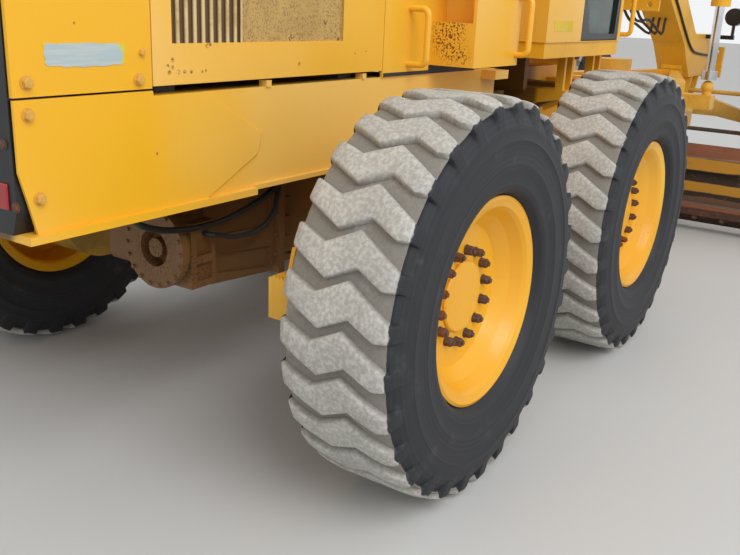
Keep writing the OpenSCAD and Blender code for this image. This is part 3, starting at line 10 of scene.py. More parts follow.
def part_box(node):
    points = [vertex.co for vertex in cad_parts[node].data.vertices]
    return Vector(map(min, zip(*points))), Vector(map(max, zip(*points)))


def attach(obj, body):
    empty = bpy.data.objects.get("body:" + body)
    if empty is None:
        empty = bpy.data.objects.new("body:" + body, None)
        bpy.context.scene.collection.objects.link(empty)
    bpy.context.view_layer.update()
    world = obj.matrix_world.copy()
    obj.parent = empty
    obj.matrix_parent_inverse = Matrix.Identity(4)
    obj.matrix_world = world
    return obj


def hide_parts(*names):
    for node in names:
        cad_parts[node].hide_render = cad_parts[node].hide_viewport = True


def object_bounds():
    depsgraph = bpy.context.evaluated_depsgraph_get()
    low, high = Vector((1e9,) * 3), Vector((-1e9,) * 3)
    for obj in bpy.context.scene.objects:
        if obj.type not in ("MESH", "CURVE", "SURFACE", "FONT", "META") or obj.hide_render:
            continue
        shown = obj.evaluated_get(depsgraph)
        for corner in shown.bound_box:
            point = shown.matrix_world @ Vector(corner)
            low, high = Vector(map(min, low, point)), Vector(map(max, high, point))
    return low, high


bl_info = {
    "name": "Motor grader dressing",
    "version": (1, 0, 0),
    "blender": (4, 5, 0),
    "location": "3D Viewport > Sidebar > Grader",
    "description": "Dresses the motor grader's frame with tyres, hardware, glass and worn paint",
    "category": "Object",
}

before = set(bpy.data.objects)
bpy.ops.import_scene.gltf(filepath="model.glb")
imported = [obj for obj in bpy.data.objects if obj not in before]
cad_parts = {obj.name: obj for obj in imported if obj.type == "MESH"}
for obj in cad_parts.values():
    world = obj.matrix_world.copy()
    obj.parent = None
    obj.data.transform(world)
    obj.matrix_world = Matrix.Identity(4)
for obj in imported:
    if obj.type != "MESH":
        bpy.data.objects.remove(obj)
cad_low, cad_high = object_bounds()
SIDES = {"right": -1, "left": 1}
STATIONS = ("rear", "mid", "front")


def wheel_middle(place):
    """Middle of a wheel, taken from the box of its tyre."""
    low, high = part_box("tyre_" + place)
    return (low + high) / 2


# Settings that a user would change
def length_setting(name, description, default):
    return FloatProperty(name=name, description=description, default=default, unit="LENGTH")


def colour_setting(name, description, default):
    return FloatVectorProperty(
        name=name, description=description, subtype="COLOR", default=default, min=0, max=1)


class WheelSettings(bpy.types.PropertyGroup):
    radius: length_setting("Tyre radius", "Radius over the lugs", 0.662)
    width: length_setting("Tyre width", "Width over the side walls", 0.400)
    tread: length_setting("Tread width", "Width over the lugs", 0.356)
    lug_height: length_setting("Lug height", "Depth of the grooves between the lugs", 0.024)
    lugs: IntProperty(name="Lugs", description="Lugs round each tyre", default=29, min=8, max=60)
    nuts: IntProperty(name="Wheel nuts", description="Nuts on each wheel", default=14, min=4, max=24)
    nut_circle: length_setting("Nut circle", "Radius of the circle of nuts", 0.1575)
    nut_size: length_setting("Nut size", "Width of a nut across its flats", 0.028)


class PaintSettings(bpy.types.PropertyGroup):
    yellow: colour_setting("Machine yellow", "Paint of the body", (0.90, 0.465, 0.014))
    faded: colour_setting("Faded yellow", "Paint where the sun has faded it", (0.92, 0.55, 0.13))
    rim: colour_setting("Rim yellow", "Fresher paint of the rims", (0.86, 0.40, 0.004))
    rust: colour_setting("Rust", "Bare rusty steel", (0.115, 0.042, 0.014))
    grime: colour_setting("Grime", "Dirt in corners and low down", (0.115, 0.080, 0.042))
    rubber: colour_setting("Rubber", "Side walls of the tyres", (0.014, 0.015, 0.019))
    tread_dust: colour_setting("Tread dust", "Dry dust on the lugs", (0.49, 0.48, 0.445))


class HardwareSettings(bpy.types.PropertyGroup):
    bolt_size: length_setting("Bolt size", "Width of a panel bolt's head", 0.024)
    washer: length_setting("Washer", "Radius of a panel bolt's washer", 0.0175)
    edge_bolts: IntProperty(
        name="Edge bolts", description="Bolts along the blade's cutting edge", default=18, min=4, max=40)


class StageSettings(bpy.types.PropertyGroup):
    floor: colour_setting("Floor", "Colour of the plain floor", (0.60, 0.60, 0.59))
    sky: FloatProperty(name="Sky", description="Strength of the even light", default=0.78, min=0)
    key: FloatProperty(
        name="Key light", description="Power of the large lamp", default=620.0, min=0, unit="POWER")
    fill: FloatProperty(
        name="Fill light", description="Power of the second lamp", default=160.0, min=0, unit="POWER")


def settings(group):
    """One of the groups of settings, as the user has set it."""
    return getattr(bpy.context.scene, "grader_" + group)


# Shapes in mesh code
class Shape:
    """Points and faces gathered for one piece, in metres, in the frame of the CAD."""

    def __init__(self):
        self.points = []
        self.faces = []

    def add(self, points, faces):
        """Adds faces on points of their own."""
        base = len(self.points)
        self.points.extend(tuple(p) for p in points)
        self.faces.extend([base + i for i in face] for face in faces)
        return self

    def box(self, low, high):
        """A box between its lowest and its highest corner."""
        corners = [(x, y, z) for z in (low[2], high[2]) for y in (low[1], high[1])
                   for x in (low[0], high[0])]
        return self.add(corners, [(0, 2, 3, 1), (4, 5, 7, 6), (0, 1, 5, 4), (2, 6, 7, 3),
                                  (0, 4, 6, 2), (1, 3, 7, 5)])

    def plate(self, outline, near, far):
        """A flat outline of (x, z), extruded along y."""
        n = len(outline)
        area = sum(outline[i][0] * outline[(i + 1) % n][1] - outline[(i + 1) % n][0] * outline[i][1]
                   for i in range(n))
        if area >= 0:
            outline = outline[::-1]
        points = [(x, y, z) for y in (near, far) for x, z in outline]
        faces = [tuple(range(n))[::-1], tuple(range(n, 2 * n))]
        faces += [(i, (i + 1) % n, n + (i + 1) % n, n + i) for i in range(n)]
        return self.add(points, faces)

    def ring_strip(self, rings, closed=False):
        """Joins rings of equal length into one skin, closed on itself or with flat caps at its ends."""
        n = len(rings[0])
        points = [p for ring in rings for p in ring]
        count = len(rings)
        spans = count if closed else count - 1
        faces = []
        for r in range(spans):
            a = r * n
            b = ((r + 1) % count) * n
            faces += [(a + i, a + (i + 1) % n, b + (i + 1) % n, b + i) for i in range(n)]
        if not closed:
            faces.append(tuple(range(n))[::-1])
            faces.append(tuple(range((count - 1) * n, count * n)))
        return self.add(points, faces)

    def tube(self, path, radius, sides):
        """A round tube along a path, with one radius or a list of one for each point."""
        path = [Vector(p) for p in path]
        widths = radius if isinstance(radius, list) else [radius] * len(path)
        rings = []
        across = None
        for i, here in enumerate(path):
            ahead = path[min(i + 1, len(path) - 1)] - path[max(i - 1, 0)]
            ahead.normalize()
            if across is None:
                start = Vector((0, 0, 1)) if abs(ahead.z) < 0.9 else Vector((1, 0, 0))
                across = ahead.cross(start).normalized()
            across = (across - ahead * across.dot(ahead)).normalized()
            other = ahead.cross(across)
            turns = [2 * math.pi * k / sides for k in range(sides)]
            rings.append([here + (across * math.cos(t) + other * math.sin(t)) * widths[i]
                          for t in turns])
        return self.ring_strip(rings)

    def lathe(self, section, centre, axis, steps):
        """Turns a closed section of (radius, along) about the x or the z axis through a centre."""
        centre = Vector(centre)
        rings = []
        for k in range(steps):
            t = 2 * math.pi * k / steps
            ring = []
            for radius, along in section:
                u, v = radius * math.cos(t), radius * math.sin(t)
                offset = {"x": (along, u, v), "z": (u, v, along)}[axis]
                ring.append(centre + Vector(offset))
            rings.append(ring)
        return self.ring_strip(rings, closed=True)


def smooth_path(points, steps):
    """A smooth curve through the points, in so many steps from each to the next."""
    ends = [Vector(p) for p in points]
    ends = [2 * ends[0] - ends[1]] + ends + [2 * ends[-1] - ends[-2]]
    path = []
    for i in range(1, len(ends) - 2):
        a, b, c, d = ends[i - 1:i + 3]
        for k in range(steps):
            t = k / steps
            path.append(0.5 * (2 * b + (c - a) * t + (2 * a - 5 * b + 4 * c - d) * t * t
                               + (3 * b - a - 3 * c + d) * t ** 3))
    path.append(ends[-2])
    return path


def soften(mesh, angle):
    """Smooths the edges that turn by less than an angle in degrees."""
    mesh.shade_smooth()
    mesh.set_sharp_from_angle(angle=math.radians(angle))


def settle(mesh, smooth_angle, merge=True):
    """Merges doubles, turns the faces outwards and smooths the soft edges."""
    work = bmesh.new()
    work.from_mesh(mesh)
    if merge:
        bmesh.ops.remove_doubles(work, verts=work.verts, dist=0.00002)
    bmesh.ops.recalc_face_normals(work, faces=work.faces)
    work.to_mesh(mesh)
    work.free()
    soften(mesh, smooth_angle)


def make_piece(name, shape, body, look, bevel=0.0, smooth_angle=35, segments=2):
    """One finished piece on its body, with its edges rounded by a bevel."""
    mesh = bpy.data.meshes.new(name)
    mesh.from_pydata(shape.points, [], shape.faces)
    settle(mesh, smooth_angle)
    mesh.materials.append(LOOKS[look])
    return place_mesh(name, mesh, body, bevel, segments)


def place_mesh(name, mesh, body, bevel=0.0, segments=2):
    """Puts a mesh into the scene as a piece that rides on a body."""
    piece = bpy.data.objects.new(name, mesh)
    bpy.context.scene.collection.objects.link(piece)
    if bevel:
        rounding = piece.modifiers.new("Rounded edges", "BEVEL")
        rounding.width = bevel
        rounding.segments = segments
        rounding.limit_method = "ANGLE"
        rounding.angle_limit = math.radians(40)
        rounding.harden_normals = False
    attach(piece, body)
    return piece


# Node trees
def plug(tree, socket, value):
    """Links an output to a socket, or sets the socket's own value."""
    if isinstance(value, bpy.types.NodeSocket):
        tree.links.new(value, socket)
    elif hasattr(socket.default_value, "__len__") and len(socket.default_value) == 4 and len(value) == 3:
        socket.default_value = (*value, 1.0)
    else:
        socket.default_value = value


def add_node(tree, kind, inputs=None, **values):
    """Adds a node with its settings, and plugs what each of its inputs gets."""
    node = tree.nodes.new(kind)
    for key, value in values.items():
        setattr(node, key, value)
    for key, value in (inputs or {}).items():
        plug(tree, node.inputs[key], value)
    return node


# Materials
class Look:
    """A material under construction. Each call adds a node and returns its output."""

    def __init__(self, name, rough=0.5, metal=0.0, **shader_values):
        self.material = bpy.data.materials.new(name)
        self.material.use_nodes = True
        self.tree = self.material.node_tree
        self.shader = self.tree.nodes["Principled BSDF"]
        self.shader.inputs["Roughness"].default_value = rough
        self.shader.inputs["Metallic"].default_value = metal
        for key, value in shader_values.items():
            self.shader.inputs[key.replace("_", " ")].default_value = value
        self.place = self.add("ShaderNodeTexCoord").outputs["Object"]
        self.folded = None

    def add(self, kind, inputs=None, **values):
        return add_node(self.tree, kind, inputs, **values)

    def stretched(self, scale):
        """The place on the object, with each axis scaled."""
        return self.add("ShaderNodeMapping", {"Vector": self.place, "Scale": scale}).outputs["Vector"]

    def noise(self, scale, detail=4.0, stretch=None, rough=0.55, warp=0.0):
        """Soft noise on the object, with an optional scale for each axis."""
        where = self.stretched(stretch) if stretch else self.place
        node = self.add("ShaderNodeTexNoise", {"Vector": where, "Scale": scale, "Detail": detail,
                                               "Roughness": rough, "Distortion": warp})
        return node.outputs["Fac"]

    def cells(self, scale):
        """Distance from the middle of the nearest cell."""
        node = self.add("ShaderNodeTexVoronoi", {"Vector": self.place, "Scale": scale})
        return node.outputs["Distance"]

    def attribute(self, name):
        """A value that the mesh carries at its points."""
        return self.add("ShaderNodeAttribute", attribute_name=name).outputs["Fac"]

    def axis(self, letter):
        """The place along one axis of the machine."""
        return self.add("ShaderNodeSeparateXYZ", {"Vector": self.place}).outputs[letter]

    def step(self, value, low, high, to_low=0.0, to_high=1.0):
        """A smooth step from to_low at low to to_high at high."""
        node = self.add("ShaderNodeMapRange", {"Value": value, "From Min": low, "From Max": high,
                                               "To Min": to_low, "To Max": to_high},
                        interpolation_type="SMOOTHSTEP")
        return node.outputs["Result"]

    def math(self, operation, a, b=0.0):
        return self.add("ShaderNodeMath", {0: a, 1: b}, operation=operation).outputs["Value"]

    def total(self, a, b):
        return self.math("ADD", a, b)

    def less(self, a, b):
        return self.math("SUBTRACT", a, b)

    def most(self, a, b):
        return self.math("MAXIMUM", a, b)

    def size(self, a):
        return self.math("ABSOLUTE", a)

    def times(self, *values):
        result = values[0]
        for value in values[1:]:
            result = self.math("MULTIPLY", result, value)
        return result

    def mix(self, factor, a, b):
        """The colour a, turning into the colour b with the factor."""
        return self.add("ShaderNodeMix", {0: factor, 6: a, 7: b}, data_type="RGBA").outputs[2]

    def either_side(self):
        """The place on the object, the same for both sides of the machine."""
        if self.folded is None:
            parts = self.add("ShaderNodeSeparateXYZ", {"Vector": self.place}).outputs
            self.folded = self.add("ShaderNodeCombineXYZ", {
                "X": parts["X"], "Y": self.size(parts["Y"]), "Z": parts["Z"]}).outputs["Vector"]
        return self.folded

    def spot(self, centre, radius, inner=0.2):
        """1 at a place on either side of the machine, falling to 0 at the radius."""
        node = self.add("ShaderNodeVectorMath", {0: self.either_side(), 1: centre}, operation="DISTANCE")
        return self.step(node.outputs["Value"], radius, radius * inner)

    def bump(self, height, strength, distance):
        """Raises the surface where the height is high."""
        node = self.add("ShaderNodeBump", {"Height": height, "Strength": strength, "Distance": distance})
        self.tree.links.new(node.outputs["Normal"], self.shader.inputs["Normal"])

    def finish(self, colour, rough=None, metal=None):
        """The material, with its colour plugged in, and its roughness and metal where given."""
        for key, value in (("Base Color", colour), ("Roughness", rough), ("Metallic", metal)):
            if value is not None:
                plug(self.tree, self.shader.inputs[key], value)
        return self.material


# Finished materials by name, filled in by the operator for the finishes
LOOKS = {}


def grille_tone(look, tone, rust):
    """The door's paint, with its ribbed sheet, painted shade in the valleys between its ribs, and its
    rusting screen inside the opening.
    """
    # The opening: left edge, where the ribs end and the screen begins, right edge, bottom and top
    left, split, right, low, high = -3.882, -3.588, -3.059, 1.440, 1.800
    # Distances from the machine's middle: the door's surface, the ribs' crests, the valleys between them
    surface, crest, floor = 0.5195, 0.5194, 0.5138
    along, up = look.axis("X"), look.axis("Z")
    depth = look.size(look.axis("Y"))
    inside = look.times(look.step(along, left, left + 0.001), look.step(along, right + 0.001, right),
                        look.step(up, low, low + 0.001), look.step(up, high + 0.001, high),
                        look.step(depth, surface + 0.0003, surface))
    ribbed = look.step(along, split, split - 0.001)
    patches = look.noise(9, 6)
    fine = look.noise(150, 4)
    worn = look.step(look.total(patches, look.times(fine, 0.4)), 0.58, 0.86)
    ribs = look.mix(worn, (0.72, 0.54, 0.27), (0.50, 0.33, 0.13))
    # Painted shade: the ribs darken from crest to valley, which leaves the crests as a painted highlight
    ribs = look.mix(look.step(depth, crest, floor), ribs, (0.115, 0.060, 0.018))
    screen = look.mix(look.step(patches, 0.35, 0.7), (0.50, 0.31, 0.085), (0.60, 0.39, 0.115))
    screen = look.mix(look.times(look.step(fine, 0.50, 0.62), 0.6), screen, (0.20, 0.105, 0.035))
    screen = look.mix(look.step(look.total(patches, look.times(fine, 0.5)), 0.86, 0.98), screen, rust)
    return look.mix(inside, tone, look.mix(ribbed, screen, ribs))


def paint(name, colour, faded, chips=0.3, grime=0.3, low_dirt=(0.3, 1.0), spots=(), dots=(), rough=0.42,
          grille=False, second_tone_span=None, inner=None):
    """Worn paint: fading, rust chips, run-down grime, more dirt low down, and some painted shade.

    Low dirt is thick below its first height and gone above its second. Spots are patches of fine rust
    and dots are single rust specks, each a centre and a radius. The second tone's span gives the two
    places along the machine between which that tone comes in: the faded tone, or on the gear case a dark
    tone that is partly rust and partly painted shade. Inner gives how much painted shade darkens the
    hidden inner side of the frame, and the place ahead of which none is painted.
    """
    tints = settings("paint")
    look = Look(name, rough=rough)
    broad = look.noise(0.8, 2)
    patches = look.noise(2.7, 5)
    streaks = look.noise(3.2, 5, stretch=(6.0, 6.0, 0.7))
    fine = look.noise(42, 5)
    specks = look.cells(60)
    ragged = look.noise(120, 3)
    fade_and_shade = look.step(broad, 0.36, 0.66)
    # The second tone comes in between two places along the machine: faded paint, or on the gear case a
    # dark tone that is partly rust and partly painted shade
    if second_tone_span:
        uneven = look.total(look.axis("X"), look.times(patches, 0.2))
        fade_and_shade = look.most(fade_and_shade, look.step(uneven, *second_tone_span))
    tone = look.mix(fade_and_shade, colour, faded)
    tone = look.mix(look.times(look.step(streaks, 0.56, 0.82), grime * 0.55), tone, tints.grime)
    low = look.step(look.axis("Z"), low_dirt[1], low_dirt[0])
    dirt = look.times(look.step(look.total(patches, look.times(fine, 0.35)), 0.66, 0.98), grime)
    dirt = look.most(dirt, look.times(low, look.step(patches, 0.30, 0.70), min(1.0, grime * 2.4)))
    tone = look.mix(dirt, tone, tints.grime)
    chip = look.times(look.step(ragged, 0.62, 0.67),
                      look.step(patches, 0.66 - 0.12 * chips, 0.84 - 0.2 * chips))
    small = look.times(look.step(specks, 0.13, 0.07), look.step(look.noise(7.5, 2), 0.64, 0.74))
    chip = look.times(look.most(chip, small), min(1.0, chips * 1.6))
    for centre, radius in spots:
        near = look.spot(centre, radius)
        chip = look.most(chip, look.times(near, look.step(ragged, 0.50, 0.58)))
    for centre, radius in dots:
        speck = look.times(look.spot(centre, radius, 0.30), look.step(ragged, 0.34, 0.50))
        tone = look.mix(look.times(speck, 0.9), tone, (0.22, 0.085, 0.018))
    # Painted shade: the hidden inner side of the frame darkens, in patches, behind a place along the
    # machine
    if inner:
        amount, ahead = inner
        hidden = look.times(look.step(look.size(look.axis("Y")), 0.475, 0.440),
                            look.step(look.axis("X"), ahead, ahead - 0.2))
        inner_shade = look.times(hidden, look.step(patches, 0.15, 0.5, 0.6, 1.0), amount)
        tone = look.mix(inner_shade, tone, (0.045, 0.030, 0.018))
    if grille:
        tone = grille_tone(look, tone, tints.rust)
    tone = look.mix(chip, tone, tints.rust)
    wear = look.total(look.times(chip, 0.8), look.times(patches, 0.6))
    look.bump(look.less(look.times(fine, 0.25), chip), 0.28, 0.0012)
    return look.finish(tone, look.step(wear, 0.0, 1.4, rough - 0.1, 0.85))


def steel(name, colour, dark, rust, rough, metal):
    """Steel with a grain, rusted in patches that rust makes wider."""
    tints = settings("paint")
    look = Look(name, rough=rough, metal=metal)
    patches = look.noise(4.5, 6)
    fine = look.noise(70, 5)
    tone = look.mix(look.step(fine, 0.3, 0.7), colour, dark)
    rusty = look.step(look.total(patches, look.times(fine, 0.25)), 0.80 - 0.42 * rust, 0.95 - 0.3 * rust)
    brown = look.mix(look.step(look.noise(26, 4), 0.35, 0.7), tints.rust, (0.23, 0.085, 0.028))
    tone = look.mix(rusty, tone, brown)
    look.bump(look.total(fine, look.times(rusty, 0.6)), 0.35, 0.0015)
    return look.finish(tone, look.step(rusty, 0, 1, rough, 0.9), look.step(rusty, 0, 1, metal, 0.05))


def rubber_look():
    """Tyre rubber: dusty grey tread, grooves darkened partly by dirt and partly by painted shade, and
    dark side walls with faint rings.
    """
    tints = settings("paint")
    look = Look("tyre rubber", rough=0.75)
    tread = look.attribute("tread")
    groove = look.attribute("groove")
    radius = look.attribute("radius")
    fine = look.noise(85, 6)
    patches = look.noise(7, 5)
    ragged = look.noise(30, 5)
    pits = look.step(look.cells(95), 0.20, 0.05)
    cuts = look.step(look.noise(34, 8, rough=0.7, warp=1.2), 0.66, 0.72)
    dust = look.mix(look.step(patches, 0.30, 0.72), tints.tread_dust, (0.58, 0.57, 0.53))
    dust = look.mix(look.times(look.step(fine, 0.35, 0.62), 0.42), dust, (0.20, 0.185, 0.165))
    dust = look.mix(look.times(cuts, 0.55), dust, (0.10, 0.095, 0.09))
    dust = look.mix(look.times(pits, 0.22), dust, (0.12, 0.11, 0.10))
    # Darker down in the grooves, by depth: partly dirt, partly painted shade
    dust = look.mix(look.times(groove, look.step(patches, 0.1, 0.5), 0.85), dust, (0.20, 0.185, 0.16))
    # Faint rings on the side walls: noise that changes with the radius alone
    outwards = look.add("ShaderNodeCombineXYZ", {"X": radius}).outputs["Vector"]
    rings = look.add("ShaderNodeTexNoise", {"Vector": outwards, "Scale": 120.0, "Detail": 5.0})
    rings = rings.outputs["Fac"]
    wall = look.mix(look.step(rings, 0.40, 0.75), tints.rubber, (0.026, 0.029, 0.035))
    scuff = look.times(look.step(look.noise(9, 7, rough=0.7), 0.56, 0.80), 0.45)
    wall = look.mix(scuff, wall, (0.105, 0.105, 0.105))
    edge = look.total(tread, look.times(look.less(ragged, 0.5), 0.9))
    light = look.step(edge, 0.42, 0.62)
    tone = look.mix(light, wall, dust)
    height = look.total(look.times(fine, 0.6), look.times(look.total(cuts, pits), -0.8))
    height = look.times(height, look.step(light, 0, 1, 0.25, 1.0))
    look.bump(look.total(height, look.times(rings, 0.3)), 0.5, 0.003)
    return look.finish(tone, look.step(light, 0, 1, 0.62, 0.95))


def glass_look():
    """Dark green cab glass with a film of dust in patches."""
    look = Look("cab glass", rough=0.03, IOR=1.45, Transmission_Weight=0.94)
    film = look.step(look.noise(3.5, 5), 0.42, 0.80)
    tone = look.mix(look.times(film, 0.30), (0.12, 0.25, 0.205), (0.26, 0.31, 0.27))
    return look.finish(tone, look.step(film, 0, 1, 0.02, 0.18))


def label_look():
    """A blank label worn to its pale blue backing, with its first colour left in the corners."""
    look = Look("worn label", rough=0.55)
    # The label's middle and half its size, along the machine and in height
    middle_x, middle_z, half_x, half_z = -4.181, 1.416, 0.128, 0.031
    ragged = look.less(look.noise(26, 6, rough=0.65), 0.5)
    u = look.size(look.math("DIVIDE", look.less(look.axis("X"), middle_x), half_x))
    v = look.math("DIVIDE", look.less(look.axis("Z"), middle_z), half_z)
    out = look.total(look.math("POWER", u, 5.0), look.times(look.most(v, 0.0), 0.35))
    edge = look.total(out, look.times(ragged, 1.3))
    lines = look.step(look.noise(34, 4, stretch=(0.25, 1, 5.0)), 0.42, 0.62)
    blue = look.mix(lines, (0.42, 0.52, 0.55), (0.52, 0.57, 0.55))
    tone = look.mix(look.step(edge, 0.72, 0.84), blue, (0.66, 0.60, 0.05))
    return look.finish(tone)


def plain_look(name, colour, second, scale, rough, metal=0.0, grain=0.3, coat=0.0):
    """A finish with a quiet variation of tone and a fine grain, as on moulded plastic."""
    look = Look(name, rough=rough, metal=metal, Coat_Weight=coat)
    fine = look.noise(scale, 5)
    broad = look.noise(scale / 9, 3)
    blend = look.total(look.times(fine, 0.4), look.times(broad, 0.6))
    tone = look.mix(look.step(blend, 0.35, 0.68), colour, second)
    look.bump(look.noise(scale * 9, 3), grain, 0.0006)
    return look.finish(tone, look.step(broad, 0.3, 0.7, rough - 0.08, rough + 0.1))


def blade_look():
    """The blade's back in bands by height: rust, worn yellow on the rails, and painted shade in the
    recesses and below the lowest band.
    """
    tints = settings("paint")
    look = Look("blade back", rough=0.7, metal=0.1)
    broad = look.noise(5, 5, stretch=(1, 0.35, 1))
    fine = look.noise(60, 5, stretch=(1, 0.3, 1))
    up = look.total(look.axis("Z"), look.times(look.less(broad, 0.5), 0.05))
    # The dark tone is painted shade: the base below the lowest band and the recesses between the rails
    rust, worn, dark = (0.24, 0.085, 0.040), (0.52, 0.25, 0.022), (0.040, 0.022, 0.012)
    # Columns: height where a band begins, its tone
    bands = ((0.100, (0.075, 0.030, 0.018)), (0.185, rust), (0.215, (0.17, 0.095, 0.060)),
             (0.262, dark), (0.300, worn), (0.372, dark), (0.472, worn), (0.566, rust))
    soft = 0.004
    tone = look.mix(look.step(fine, 0.3, 0.7), dark, (0.060, 0.032, 0.020))
    for height, colour in bands:
        tone = look.mix(look.step(up, height - soft, height + soft), tone, colour)
    scale = look.times(look.step(broad, 0.50, 0.64), look.step(fine, 0.35, 0.55), 0.7)
    tone = look.mix(scale, tone, tints.rust)
    tone = look.mix(look.times(look.step(fine, 0.55, 0.75), 0.35), tone, (0.34, 0.20, 0.13))
    # The hollow front face and the ends: bare steel, polished by earth low down
    facing = look.add("ShaderNodeTexCoord").outputs["Normal"]
    ahead = look.step(look.add("ShaderNodeSeparateXYZ", {"Vector": facing}).outputs["X"], -0.45, -0.30)
    polish = look.step(look.total(look.axis("Z"), look.times(broad, 0.3)), 0.62, 0.30)
    bare = look.mix(look.step(fine, 0.3, 0.7), (0.25, 0.205, 0.165), (0.18, 0.135, 0.10))
    bare = look.mix(look.times(polish, 0.7), bare, (0.33, 0.315, 0.30))
    bare = look.mix(look.times(look.step(broad, 0.48, 0.66), 0.75), bare, (0.17, 0.075, 0.038))
    tone = look.mix(ahead, tone, bare)
    look.bump(look.total(fine, broad), 0.35, 0.002)
    return look.finish(tone, look.step(ahead, 0, 1, 0.8, 0.5), look.step(ahead, 0, 1, 0.0, 0.45))


# Rust specks that the photograph shows: distance along the machine, height, radius
DOOR_SPECKS = (
    (-3.882, 1.396, 0.009), (-3.900, 1.380, 0.007), (-3.882, 1.375, 0.008), (-3.894, 1.361, 0.010),
    (-3.861, 1.362, 0.010), (-3.836, 1.361, 0.008), (-3.809, 1.360, 0.008), (-3.765, 1.359, 0.006),
    (-3.750, 1.362, 0.006), (-3.307, 1.366, 0.010), (-3.743, 1.434, 0.011), (-3.730, 1.436, 0.008),
    (-2.981, 1.395, 0.006), (-2.910, 1.401, 0.005),
)
PLATE_SPECKS = ((-4.207, 1.494, 0.005), (-3.951, 1.137, 0.006))
# Patches of rust: centre on the left side of the machine, radius
GEAR_RUST = (((-3.66, 0.18, 0.73), 0.16), ((-3.67, 0.18, 0.73), 0.12), ((-3.66, 0.18, 0.73), 0.09),
             ((-3.60, 0.29, 0.66), 0.12))
RISER_RUST = (((-2.44, 0.60, 1.46), 0.12), ((-2.44, 0.62, 1.42), 0.10), ((-2.44, 0.67, 1.385), 0.06),
              ((-2.44, 0.645, 1.49), 0.07))
# Each look with the CAD parts that wear it, without the side in their names
PARTS_BY_LOOK = {
    "rail": ("rear_frame",),
    "plate": ("hood",),
    "roof": ("cab_roof",),
    "front": ("front_frame", "lift_saddle", "cab_floor", "ladders"),
    "door": ("hood_door",),
    "tank": ("tank",),
    "gear": ("transmission", "final_drive"),
    "chassis": ("tandem", "drawbar", "circle", "blade_carrier", "front_axle", "lean_bar", "lean_yoke",
                "spindle"),
    "black": ("rear_panel", "radiator_door", "door", "lamp_bar"),
    "dark_steel": ("exhaust", "tie_rod"),
    "cast": ("engine",),
    "chrome": ("artic_rod", "lift_rod"),
    "blade": ("moldboard",),
    "vinyl": ("seat",),
    "plastic": ("steering_console", "mirrors"),
    "glass": ("cab_glass", "door_glass"),
    "rubber": ("tyre_rear", "tyre_mid", "tyre_front"),
    "rim": ("rim_rear", "rim_mid", "rim_front"),
    "hose": ("hoses_front", "hoses_tractor"),
}


def paint_finishes(tints):
    """The machine's worn paints."""
    yellow, faded = tints.yellow, tints.faded
    plate_face = 0.52
    door_dots = [((x, plate_face, z), r) for x, z, r in DOOR_SPECKS]
    plate_dots = [((x, plate_face, z), r) for x, z, r in PLATE_SPECKS]
    return {
        "yellow": paint("body paint", yellow, faded, chips=0.05, grime=0.05, low_dirt=(0.55, 1.0)),
        # The rear frame's inner setting paints shade on its hidden inner side
        "rail": paint("rear frame paint", yellow, (0.92, 0.55, 0.11), chips=0.03, grime=0.03,
                      low_dirt=(0.5, 0.95), dots=plate_dots, second_tone_span=(-3.75, -3.35), inner=(0.85, 0.0)),
        "plate": paint("rear plate paint", yellow, (0.92, 0.50, 0.04), chips=0.03, grime=0.03,
                       low_dirt=(0.5, 0.95), dots=plate_dots),
        "door": paint("hood door paint", faded, yellow, chips=0.04, grime=0.04, low_dirt=(0.2, 0.9),
                      dots=door_dots, grille=True),
        "tank": paint("tank paint", faded, yellow, chips=0.06, grime=0.05, low_dirt=(0.2, 0.9),
                      spots=RISER_RUST),
        "roof": paint("cab roof paint", faded, (0.86, 0.60, 0.24), chips=0.05, grime=0.16),
        # The gear case: a darker yellow turning dark brown towards the rear, partly rust and grime,
        # partly painted shade under the machine
        "gear": paint("gear case paint", (0.68, 0.34, 0.028), (0.20, 0.095, 0.030), chips=0.4,
                      grime=0.34, low_dirt=(0.3, 0.8), spots=GEAR_RUST, rough=0.6, second_tone_span=(-3.42, -3.56)),
        # The front frame: its inner setting paints shade on the hidden inner side, and its heavy grime is
        # partly dirt and partly painted shade
        "front": paint("front frame paint", yellow, (0.86, 0.44, 0.03), chips=0.22, grime=0.24,
                       low_dirt=(0.4, 1.2), rough=0.5, inner=(0.8, -0.35)),
        "chassis": paint("chassis paint", yellow, (0.70, 0.40, 0.07), chips=0.5, grime=0.40,
                         low_dirt=(0.35, 0.9), rough=0.5),
        "rim": paint("rim paint", tints.rim, (0.93, 0.52, 0.05), chips=0.42, grime=0.04,
                     low_dirt=(0.0, 0.2), rough=0.36),
        "bolt": paint("painted bolts", (0.72, 0.40, 0.07), (0.50, 0.28, 0.08), chips=0.9, grime=0.5,
                      low_dirt=(0.2, 0.9)),
    }


